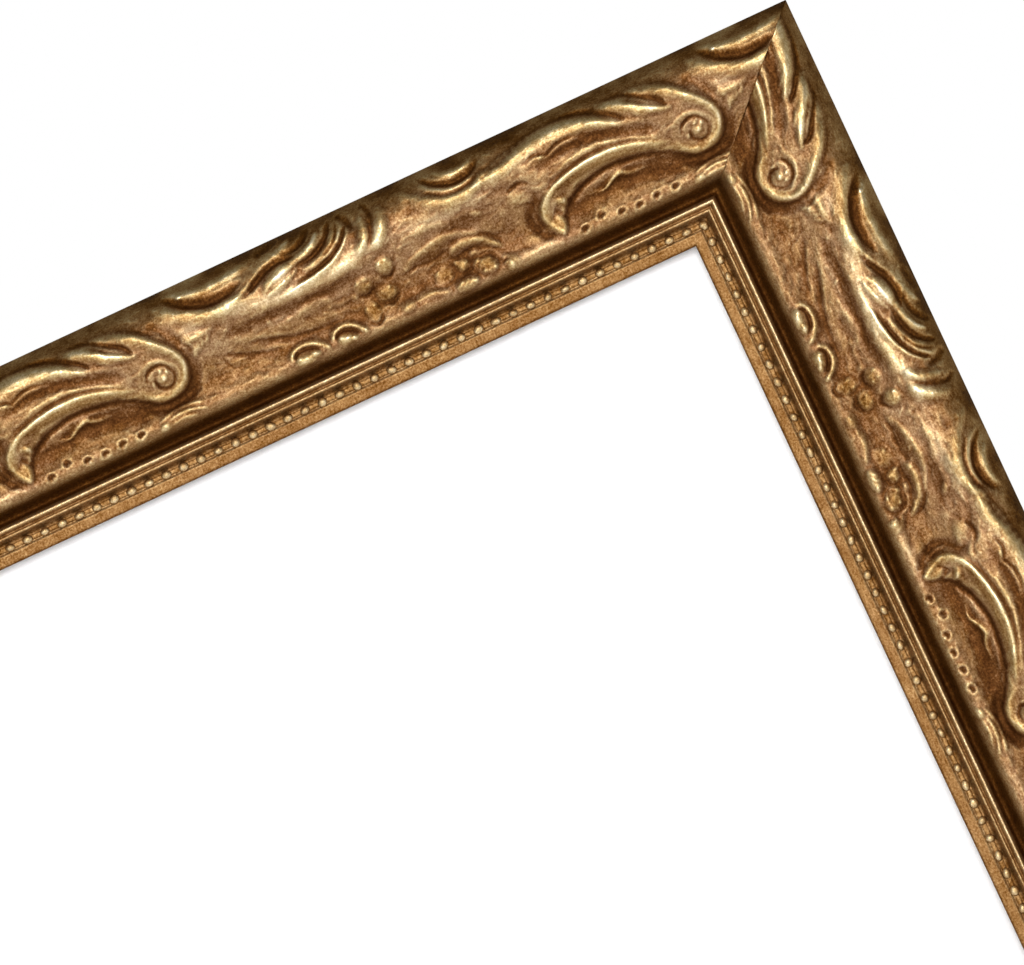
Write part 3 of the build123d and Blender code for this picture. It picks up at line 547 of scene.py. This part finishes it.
# Short wrinkles and tool marks, which run along the forms
MARKS = 1000
flow = blur(relief, 1.2)
slope_p = (np.roll(flow, -1, 0) - np.roll(flow, 1, 0)) / (2 * STEP)
slope_q = np.gradient(flow, STEP, axis=1)
for _ in range(MARKS):
    p, q = hand.uniform(0, REPEAT), hand.uniform(BAND_START + 1.5, 48.8)
    i, j = int(p / STEP) % TILE_P, int(q / STEP)
    side = 1 if slope_q[i, j] >= 0 else -1
    heading = math.atan2(-side * slope_p[i, j], abs(slope_q[i, j]) + 0.12) + hand.normal(0, 0.12)
    half, bend = hand.uniform(0.7, 2.6), hand.normal(0, 0.25)
    c, s = math.cos(heading), math.sin(heading)
    stroke(raised if hand.random() < 0.45 else scored,
           [(p - half * c, q - half * s), (p - bend * s, q + bend * c), (p + half * c, q + half * s)],
           hand.uniform(0.06, 0.22), hand.uniform(0.35, 0.6), soft=0.4, ends=0.3)
relief = (relief + blur(raised, 0.12) - blur(scored, 0.12)) * fade[None, :]
TOP_CLEARANCE = 0.02
tile = np.minimum(rounded_profile(tile_q)[None, :] + relief, FULL_HEIGHT - TOP_CLEARANCE)

# Wear and painted light: near 1 on crests, near 0 in hollows, from how far the surface stands above its
# surroundings, darker on the steep outer edge. Besides real rubbing and glaze, this paints highlights on
# the crests and shade into the hollows and onto the steep outer edge.
fine_relief = relief - blur(relief, 0.6)
wide_relief = relief - blur(relief, 2.4)
edge = np.interp(tile_q, *np.array(EDGE_WEAR_AND_SHADE).T)
smudge = sum(blur(hand.standard_normal(swell.shape), size) * size / STEP for size in (1.3, 3.5))
smudge = smudge * np.interp(tile_q, [14, 18, 40, 46, 49], [0.03, 0.04, 0.05, 0.12, 0.14])
clay_tile = np.clip(0.72 - 0.9 * wide_relief - 0.9 * fine_relief, 0, 1)
clay_tile *= np.interp(tile_q, [14, 17, 40, 45, 49], [0.4, 1.0, 0.9, 0.4, 0.0])
LEAST_WEAR_AND_SHADE = 0.06
wear_shade_tile = edge[None, :] + 0.74 * fine_relief + 0.15 * wide_relief + rub_and_highlight - wash_and_shadow + smudge
wear_shade_tile = np.clip(wear_shade_tile, LEAST_WEAR_AND_SHADE, 1)


def sample(field, p, q):
    """A tile field at places, with p wrapped round the repeat."""
    x = np.mod(p / STEP, TILE_P)
    y = np.clip(q / STEP, 0, TILE_Q - 1.001)
    i, j = np.floor(x).astype(int), np.floor(y).astype(int)
    fx, fy = x - i, y - j
    i, k = i % TILE_P, (i + 1) % TILE_P
    low = field[i, j] * (1 - fx) + field[k, j] * fx
    high = field[i, j + 1] * (1 - fx) + field[k, j + 1] * fx
    return low * (1 - fy) + high * fy


def rail_axes(angle):
    """The directions across and along a rail, as in the frame's own axes."""
    a = math.radians(angle)
    return np.array([math.cos(a), 0.0, math.sin(a)]), np.array([math.sin(a), 0.0, -math.cos(a)])


def rail_places(angle, opening, along, across, height):
    """Points of a rail from places in millimetres along it, across it and in front of its back."""
    out, run = rail_axes(angle)
    start = np.array([0.0, BACK_Y, CENTRE_Z])
    along, across, height = (np.asarray(v, float)[..., None] * MM for v in (along, across, height))
    return start + out * (opening * MM / 2 + across) + run * along - np.array([0.0, 1.0, 0.0]) * height


def grid_faces(rows, columns, flip=False):
    """Quads between neighbouring rows and columns of a grid of points."""
    r, c = np.meshgrid(np.arange(rows - 1), np.arange(columns - 1), indexing="ij")
    a = (r * columns + c).ravel()
    quads = np.stack([a, a + 1, a + columns + 1, a + columns], 1)
    return quads[:, ::-1] if flip else quads


def new_object(name, points, faces, smooth=True):
    mesh = bpy.data.meshes.new(name)
    mesh.from_pydata(points.reshape(-1, 3).tolist(), [], [list(map(int, f)) for f in faces])
    mesh.polygons.foreach_set("use_smooth", np.full(len(mesh.polygons), smooth))
    mesh.update()
    piece = bpy.data.objects.new(name, mesh)
    bpy.context.collection.objects.link(piece)
    return piece


def set_layer(piece, name, values):
    """A value for each vertex, which the materials read by name."""
    layer = piece.data.attributes.new(name, "FLOAT", "POINT")
    layer.data.foreach_set("value", np.asarray(values, np.float32).ravel())


# Band: the pressed ornament of a rail, from the dark channel to the outer edge, closed down at its ends
BAND_STEP = 0.42
SIGHT_STEP = 0.15
SKIRT_HEIGHT = 10


def make_band(name, angle, opening, length, start):
    columns = int((BAND_END - BAND_START) / BAND_STEP) + 1
    rows = int((length + 2 * RAIL_WIDTH) / BAND_STEP) + 1
    across = np.linspace(BAND_START, BAND_END, columns)[None, :].repeat(rows, 0)
    share = np.linspace(-1, 1, rows)[:, None]
    along = share * (length / 2 + across)
    place = along + length / 2 + RAIL_WIDTH + start
    height = sample(tile, place, across)
    wear_and_light, clay = (sample(field, place, across) for field in (wear_shade_tile, clay_tile))
    skirt = np.minimum(height[[0]], SKIRT_HEIGHT)
    height = np.vstack([skirt, height, skirt])
    along, across, wear_and_light, clay = (np.vstack([v[[0]], v, v[[-1]]]) for v in (along, across, wear_and_light, clay))
    points = rail_places(angle, opening, along, across, height)
    piece = new_object(f"{name}_ornament", points, grid_faces(rows + 2, columns))
    set_layer(piece, "wear_and_shade", wear_and_light)
    set_layer(piece, "clay", clay)
    return piece


# Runs of plain section along a rail: the mouldings on the sight side, the bare back and the outer side
BACK_EDGE = 49.2


def make_run(name, angle, opening, length, qs, hs, rows=161):
    qs, hs = np.asarray(qs, float), np.asarray(hs, float)
    across = qs[None, :].repeat(rows, 0)
    height = hs[None, :].repeat(rows, 0)
    along = np.linspace(-1, 1, rows)[:, None] * (length / 2 + across)
    piece = new_object(name, rail_places(angle, opening, along, across, height), grid_faces(rows, len(qs)))
    for layer, values in (("across", across), ("height", height), ("place", along)):
        set_layer(piece, layer, values)
    return piece, across


def make_sight_run(name, angle, opening, length):
    qs = np.linspace(0, BAND_START, int(BAND_START / SIGHT_STEP) + 1)
    piece, across = make_run(f"{name}_moulding", angle, opening, length,
                             [0.0, *qs], [RABBET_HEIGHT, *rounded_profile(qs)])
    set_layer(piece, "wear_and_shade", np.interp(across, *np.array(SIGHT_WEAR_AND_SHADE).T))
    set_layer(piece, "clay", np.full(across.shape, 0.4))
    return piece


def make_outer_run(name, angle, opening, length):
    edge_height = rounded_profile(np.array([BAND_END]))[0]
    piece, across = make_run(f"{name}_side", angle, opening, length,
                             [BAND_END, BAND_END, 49.7, BACK_EDGE], [edge_height, 0.8, 0.25, 0.0], rows=81)
    set_layer(piece, "wear_and_shade", np.full(across.shape, 0.16))
    return piece


def make_back_run(name, angle, opening, length):
    qs = [BACK_EDGE, *np.linspace(49.0, RABBET_ACROSS, 12), RABBET_ACROSS, 0.0]
    hs = [0.0] * 13 + [RABBET_HEIGHT] * 2
    return make_run(f"{name}_back", angle, opening, length, qs, hs, rows=81)[0]


# Beads: small pressed balls on a thin string along the sight edge.
# Their tone paints a highlight on each bead's top and on the string's top, and shade round each bead's foot
# and on its outer side.
BEAD_ACROSS = 4.45
BEAD_PITCH = 5.25
BEAD_RADIUS = 1.25
BEAD_LONG = 1.12
BEAD_NARROW = 0.95
BED_HEIGHT = 11.9
BEAD_LIFT = 0.2
BEAD_DEPTH = 0.62
CORNER_SHIFT = 0.35
STRING_SHORT = 0.4
STRING_REACH = 0.75
STRING_HEIGHT = 0.24
STRING_SUNK = 0.02


def make_beads(name, angle, opening, length):
    bead_run = length + 2 * BEAD_ACROSS
    count = math.ceil(bead_run / BEAD_PITCH)
    segments, rings = 18, 9
    theta = np.linspace(0, 2 * math.pi, segments, endpoint=False)
    phi = np.linspace(0.0, BEAD_DEPTH * math.pi, rings)
    points, faces, wear_and_light = [], [], []
    for index in range(count + 1):
        centre = (index / count - 0.5) * bead_run
        centre -= np.sign(centre) * CORNER_SHIFT * (index in (0, count))
        base = len(points)
        longer, wider, higher = hand.normal(1, 0.06, 3)
        dent, turn = hand.uniform(0.0, 0.12), hand.uniform(0, 2 * math.pi)
        for f in phi:
            for t in theta:
                reach = BEAD_RADIUS * (1 - dent * math.cos(2 * t - turn)) * math.sin(f)
                points.append((centre + reach * BEAD_LONG * longer * math.cos(t),
                               BEAD_ACROSS + reach * BEAD_NARROW * wider * math.sin(t),
                               BED_HEIGHT + BEAD_LIFT + BEAD_RADIUS * higher * math.cos(f)))
                bead_light_and_shade = np.interp(math.degrees(f), [0, 35, 60, 75, 90], [0.58, 0.66, 0.6, 0.42, 0.1])
                wear_and_light.append(bead_light_and_shade - 0.3 * math.sin(f) * max(math.sin(t), -0.3))
        for r in range(rings - 1):
            for k in range(segments):
                a, b = base + r * segments + k, base + r * segments + (k + 1) % segments
                faces.append((a, a + segments, b + segments, b))
    base = len(points)
    sides, stations = 8, 3
    ends = bead_run / 2 - STRING_SHORT
    for along in (-ends, 0.0, ends):
        for k in range(sides + 1):
            t = math.pi * k / sides
            points.append((along, BEAD_ACROSS + STRING_REACH * math.cos(t),
                           BED_HEIGHT - STRING_SUNK + STRING_HEIGHT * math.sin(t)))
            wear_and_light.append(0.24 + 0.12 * math.sin(t) ** 3)
    faces += [tuple(base + i for i in quad) for quad in grid_faces(stations, sides + 1)]
    places = np.array(points)
    piece = new_object(f"{name}_beads", rail_places(angle, opening, *places.T), faces)
    set_layer(piece, "wear_and_shade", wear_and_light)
    set_layer(piece, "clay", np.full(len(wear_and_light), 0.3))
    return piece


# Glass: a sheet with seamed edges, a hair clear of the card behind it
def make_pane(name, low, high, hair, seam):
    low, high = Vector(low) + Vector(hair), Vector(high) - Vector(hair)
    ring_sets = []
    for y, inset in ((low.y, seam), (low.y + seam, 0.0), (high.y - seam, 0.0), (high.y, seam)):
        ring_sets.append([(x, y, z) for x, z in (
            (low.x + inset, low.z + inset), (high.x - inset, low.z + inset),
            (high.x - inset, high.z - inset), (low.x + inset, high.z - inset))])
    points = np.array([point for corners in ring_sets for point in corners])
    faces = [(0, 1, 2, 3), (15, 14, 13, 12)]
    for level in range(0, 12, 4):
        for k in range(4):
            m = (k + 1) % 4
            faces.append((level + k, level + 4 + k, level + 4 + m, level + m))
    return new_object(name, points, faces, smooth=False)


PANE_HAIR = 0.05 * MM
PANE_SEAM = 0.3 * MM
pane = make_pane("glass_pane", glazing_low, glazing_high, [PANE_HAIR] * 3, PANE_SEAM)


# Materials
class Nodes:
    """A short way to write the nodes of a material, or of the world, and their links."""

    def __init__(self, name, kind=bpy.data.materials, shader="Principled BSDF"):
        self.owner = kind.new(name)
        self.owner.use_nodes = True
        self.tree = self.owner.node_tree
        self.shader = self.tree.nodes[shader]

    def add(self, kind, **settings):
        node = self.tree.nodes.new(kind)
        for key, value in settings.items():
            setattr(node, key, value)
        return node

    def link(self, source, target):
        self.tree.links.new(source, target)

    def value(self, name, source):
        """Links a source to one of the shader's sockets, or sets a constant on it."""
        if hasattr(source, "links"):
            self.link(source, self.shader.inputs[name])
        else:
            self.shader.inputs[name].default_value = (*source, 1.0) if np.ndim(source) else source

    def attribute(self, name):
        return self.add("ShaderNodeAttribute", attribute_name=name).outputs["Fac"]

    def place(self, scale=(1, 1, 1), turn=(0, 0, 0)):
        """The surface's own coordinates, stretched and turned."""
        coords = self.add("ShaderNodeTexCoord")
        mapping = self.add("ShaderNodeMapping")
        mapping.inputs["Scale"].default_value = scale
        mapping.inputs["Rotation"].default_value = [math.radians(a) for a in turn]
        self.link(coords.outputs["Object"], mapping.inputs["Vector"])
        return mapping.outputs["Vector"]

    def noise(self, scale, detail=3.0, rough=0.55, vector=None, distortion=0.0):
        node = self.add("ShaderNodeTexNoise")
        node.inputs["Scale"].default_value = scale
        node.inputs["Detail"].default_value = detail
        node.inputs["Roughness"].default_value = rough
        node.inputs["Distortion"].default_value = distortion
        self.link(vector if vector is not None else self.place(), node.inputs["Vector"])
        return node.outputs["Fac"]

    def math(self, operation, a, b=0.0, clamp=False):
        node = self.add("ShaderNodeMath", operation=operation, use_clamp=clamp)
        for socket, value in zip(node.inputs, (a, b)):
            if hasattr(value, "links"):
                self.link(value, socket)
            else:
                socket.default_value = value
        return node.outputs[0]

    def ramp(self, source, stops):
        node = self.add("ShaderNodeValToRGB")
        while len(node.color_ramp.elements) < len(stops):
            node.color_ramp.elements.new(0.5)
        for element, (position, colour) in zip(node.color_ramp.elements, stops):
            element.position = position
            element.color = (*(srgb(*colour) if np.ndim(colour) else (colour,) * 3), 1.0)
        self.link(source, node.inputs["Fac"])
        return node.outputs["Color"]

    def mix(self, factor, a, b):
        node = self.add("ShaderNodeMix", data_type="RGBA")
        for socket, source in ((node.inputs[0], factor), (node.inputs[6], a), (node.inputs[7], b)):
            self.link(source, socket)
        return node.outputs[2]

    def bump(self, height, strength, distance, under=None):
        node = self.add("ShaderNodeBump")
        node.inputs["Strength"].default_value = strength
        node.inputs["Distance"].default_value = distance
        self.link(height, node.inputs["Height"])
        if under is not None:
            self.link(under, node.inputs["Normal"])
        return node.outputs["Normal"]


def srgb(r, g, b):
    """A colour as a screen shows it, 0 to 255, as the values that a shader takes."""
    return tuple(((v / 255 + 0.055) / 1.055) ** 2.4 if v > 10 else v / 3294.6 for v in (r, g, b))


def antique_gold():
    """Gold leaf toned with a dark glaze that stays in the hollows and is rubbed off the crests; the same
    tone also carries painted shade in hollows and on steep slopes and painted highlights on crests. In the
    field the red clay under it shows through."""
    m = Nodes("antique_gold")
    speckle = m.noise(1700, 3.0, 0.7)
    patches = m.noise(240, 3.0, 0.6)
    cloud = m.noise(45, 2.0, 0.5)
    streak = m.noise(1.0, 3.0, 0.6, m.place((2600, 2600, 420), (0, 40, 0)))
    tone = m.attribute("wear_and_shade")
    for noise, share in ((speckle, 0.74), (patches, 0.28), (cloud, 0.12), (streak, 0.22)):
        tone = m.math("ADD", tone, m.math("MULTIPLY", m.math("SUBTRACT", noise, 0.5), share))
    tone = m.math("ADD", tone, 0.0, clamp=True)
    leaf = m.ramp(tone, [
        (0, (60, 31, 5)), (0.22, (102, 65, 20)), (0.42, (146, 111, 64)),
        (0.6, (181, 153, 103)), (0.8, (220, 199, 154)), (1, (250, 238, 207)),
    ])
    clay = m.ramp(tone, [
        (0, (62, 33, 9)), (0.22, (97, 60, 28)), (0.42, (140, 105, 73)),
        (0.6, (178, 148, 111)), (0.8, (219, 191, 154)), (1, (250, 234, 200)),
    ])
    bare = m.math("MULTIPLY", m.attribute("clay"), m.math("ADD", m.noise(62, 3.0, 0.6), 0.6), clamp=True)
    m.value("Base Color", m.mix(bare, leaf, clay))
    m.value("Metallic", 0.9)
    m.value("Specular IOR Level", 0.2)
    m.value("Specular Tint", (1.0, 0.86, 0.66))
    m.value("Roughness", m.ramp(tone, [(0.0, 0.6), (0.4, 0.48), (0.7, 0.36), (1.0, 0.31)]))
    grain = m.bump(speckle, 0.9, 0.00014)
    m.value("Normal", m.bump(streak, 0.4, 0.0001, grain))
    return m.owner


def bare_wood():
    """Knot-free softwood, its grain along the rail, with the saw's fine lines across it."""
    m = Nodes("bare_wood")
    spot = m.add("ShaderNodeCombineXYZ")
    for socket, name, scale in zip(spot.inputs, ("place", "across", "height"), (0.012, 0.42, 0.42)):
        m.link(m.math("MULTIPLY", m.attribute(name), scale), socket)
    grain = m.noise(2.2, 4.0, 0.6, spot.outputs[0], 0.6)
    fine = m.noise(14.0, 2.0, 0.6, spot.outputs[0])
    tone = m.math("ADD", grain, m.math("MULTIPLY", m.math("SUBTRACT", fine, 0.5), 0.35), clamp=True)
    m.value("Base Color", m.ramp(tone, [
        (0.25, (146, 106, 66)), (0.45, (182, 140, 94)), (0.6, (202, 164, 118)), (0.75, (176, 132, 86)),
    ]))
    m.value("Roughness", 0.75)
    m.value("Normal", m.bump(fine, 0.25, 0.0001))
    return m.owner


def clear_glass():
    """Thin picture glass: it lets the card show and takes a faint reflection."""
    m = Nodes("clear_glass")
    m.tree.nodes.remove(m.shader)
    clear = m.add("ShaderNodeBsdfTransparent")
    gloss = m.add("ShaderNodeBsdfGlossy")
    gloss.inputs["Roughness"].default_value = 0.02
    facing = m.add("ShaderNodeLayerWeight")
    facing.inputs["Blend"].default_value = 0.5
    grazing = m.math("POWER", facing.outputs["Facing"], 5.0)
    share = m.math("ADD", m.math("MULTIPLY", grazing, 0.96), 0.04, clamp=True)
    both = m.add("ShaderNodeMixShader")
    m.link(share, both.inputs[0])
    m.link(clear.outputs[0], both.inputs[1])
    m.link(gloss.outputs[0], both.inputs[2])
    m.link(both.outputs[0], m.tree.nodes["Material Output"].inputs["Surface"])
    return m.owner


def paper_card():
    m = Nodes("paper_card")
    fibre = m.noise(900, 4.0, 0.6)
    m.value("Base Color", m.ramp(fibre, [(0.3, (247, 247, 248)), (0.7, (252, 252, 252))]))
    m.value("Roughness", 0.85)
    m.value("Specular IOR Level", 0.2)
    m.value("Normal", m.bump(fibre, 0.1, 0.00003))
    return m.owner


def plain(name, dark, light, scale, metallic=0.0, rough=0.5, stretch=(1, 1, 1), bump=0.1):
    """A simple grained finish between two colours."""
    m = Nodes(name)
    grain = m.noise(scale, 4.0, 0.6, m.place(stretch))
    m.value("Base Color", m.ramp(grain, [(0.3, dark), (0.7, light)]))
    m.value("Metallic", metallic)
    m.value("Roughness", m.ramp(grain, [(0.2, max(rough - 0.08, 0.05)), (0.8, min(rough + 0.08, 1.0))]))
    m.value("Normal", m.bump(grain, bump, 0.0001))
    return m.owner


gold = antique_gold()
wood = bare_wood()
for name, (angle, opening, length, start) in RAILS.items():
    rail = (name, angle, opening, length)
    pieces = {
        make_band(*rail, start): gold,
        make_sight_run(*rail): gold,
        make_outer_run(*rail): gold,
        make_beads(*rail): gold,
        make_back_run(*rail): wood,
    }
    for piece, material in pieces.items():
        piece.data.materials.append(material)
        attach(piece, "frame")
        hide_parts(name)

pane.data.materials.append(clear_glass())
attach(pane, "frame")
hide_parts("glazing")

finishes = {
    "mount_card": paper_card(),
    "filler_board": plain("foam_board", (232, 231, 226), (243, 242, 238), 1500, rough=0.8),
    "backing_board": plain("hardboard", (92, 62, 38), (126, 88, 56), 900, rough=0.75, bump=0.25),
    "corner_v_nails": plain("steel", (150, 150, 150), (176, 176, 176), 800, 1.0, 0.4),
    "turn_button_screws": plain("zinc_screws", (160, 160, 158), (190, 190, 186), 1200, 1.0, 0.32),
    "hanger_nails": plain("nail_steel", (150, 150, 150), (176, 176, 176), 1200, 1.0, 0.35),
    "wall_pads": plain("felt", (46, 42, 38), (70, 64, 58), 2400, rough=0.95, bump=0.6),
}
brass = plain("brassed_steel", (186, 150, 88), (206, 172, 108), 900, 1.0, 0.34, (1, 1, 6))
zinc = plain("zinc_plate", (158, 160, 160), (186, 188, 188), 700, 1.0, 0.35)
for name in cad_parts:
    if name.startswith("turn_button_") and name != "turn_button_screws":
        finishes[name] = zinc
    if name.startswith("hanger_") and name != "hanger_nails":
        finishes[name] = brass
for name, material in finishes.items():
    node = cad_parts[name]
    node.data.materials.clear()
    node.data.materials.append(material)

# Floor under the frame's lowest edge
floor_z = cad_box[0][2]
bpy.ops.mesh.primitive_plane_add(size=8, location=(0, 0, floor_z))
floor = bpy.context.object
floor.name = "floor"
ground = Nodes("floor")
ground.value("Base Color", srgb(236, 236, 238))
ground.value("Roughness", 0.9)
ground.value("Emission Color", (1.0, 1.0, 1.0))
floor_rays = ground.add("ShaderNodeLightPath").outputs
seen_floor = ground.math("MAXIMUM", floor_rays["Is Camera Ray"], floor_rays["Is Glossy Ray"])
seen_floor = ground.math("MAXIMUM", seen_floor, floor_rays["Is Transmission Ray"])
FLOOR_GLOW = 0.42
ground.value("Emission Strength", ground.math("MULTIPLY", seen_floor, FLOOR_GLOW))
floor.data.materials.append(ground.owner)

# World: white to the camera, a soft grey room to the rest
KEY = Vector((0.08, -0.95, 0.26)).normalized()
ROOM_GLOW = 0.45
sky = Nodes("studio", bpy.data.worlds, "Background")
bpy.context.scene.world = sky.owner
sky.value("Color", (1, 1, 1))
rays = sky.add("ShaderNodeLightPath").outputs
toward = sky.add("ShaderNodeVectorMath", operation="DOT_PRODUCT")
toward.inputs[1].default_value = KEY
sky.link(sky.add("ShaderNodeTexCoord").outputs["Generated"], toward.inputs[0])
spread = sky.add("ShaderNodeMapRange")
for name, bound in (("From Min", 0.35), ("From Max", 0.98), ("To Min", 0.2), ("To Max", 1.0)):
    spread.inputs[name].default_value = bound
sky.link(toward.outputs["Value"], spread.inputs["Value"])
glossy = sky.add("ShaderNodeMix")
glossy.inputs["A"].default_value = ROOM_GLOW
sky.link(rays["Is Glossy Ray"], glossy.inputs["Factor"])
sky.link(spread.outputs["Result"], glossy.inputs["B"])
strength = sky.add("ShaderNodeMix")
strength.inputs["B"].default_value = 1.0
sky.link(sky.math("MAXIMUM", rays["Is Camera Ray"], rays["Is Transmission Ray"]), strength.inputs["Factor"])
sky.link(glossy.outputs["Result"], strength.inputs["A"])
sky.value("Strength", strength.outputs["Result"])


# Lamps: a soft key in front and a little above, a weak fill, and one for the back
LAMP_AIM = Vector((0.06, BACK_Y, -0.06))


def lamp(name, direction, distance, size, power):
    data = bpy.data.lights.new(name, "AREA")
    data.shape = "DISK"
    data.size = size
    data.energy = power
    light = bpy.data.objects.new(name, data)
    light.location = LAMP_AIM + direction.normalized() * distance
    light.rotation_euler = direction.to_track_quat("Z", "Y").to_euler()
    bpy.context.collection.objects.link(light)


lamp("key", KEY, 2.2, 1.0, 29)
lamp("fill", Vector((-0.5, -1.0, 0.1)), 2.5, 2.0, 15)
lamp("back", Vector((-0.7, 1.0, 0.55)), 2.5, 1.6, 16)

# Camera: square on to the frame, turned 25 degrees about its own axis, aimed at a place inside its corner
FIELD_WIDTH = 0.2757
LENS = 600.0
SENSOR = 36.0
TURN = math.radians(25)
AIM_FROM_RIGHT = 0.1219
AIM_FROM_TOP = 0.0868
AIM_FROM_BACK = 0.020
aim = Vector((cad_box[1][0] - AIM_FROM_RIGHT, BACK_Y - AIM_FROM_BACK, cad_box[1][2] - AIM_FROM_TOP))
camera_data = bpy.data.cameras.new("camera")
camera_data.lens = LENS
camera_data.sensor_width = SENSOR
camera_data.clip_end = 50
camera = bpy.data.objects.new("camera", camera_data)
right = Vector((math.cos(TURN), 0, -math.sin(TURN)))
up = Vector((math.sin(TURN), 0, math.cos(TURN)))
back = Vector((0, -1, 0))
turned = Matrix((right, up, back)).transposed().to_4x4()
camera.matrix_world = Matrix.Translation(aim + back * (FIELD_WIDTH * LENS / SENSOR)) @ turned
bpy.context.collection.objects.link(camera)
bpy.context.scene.camera = camera
bpy.context.scene.view_settings.view_transform = "Standard"
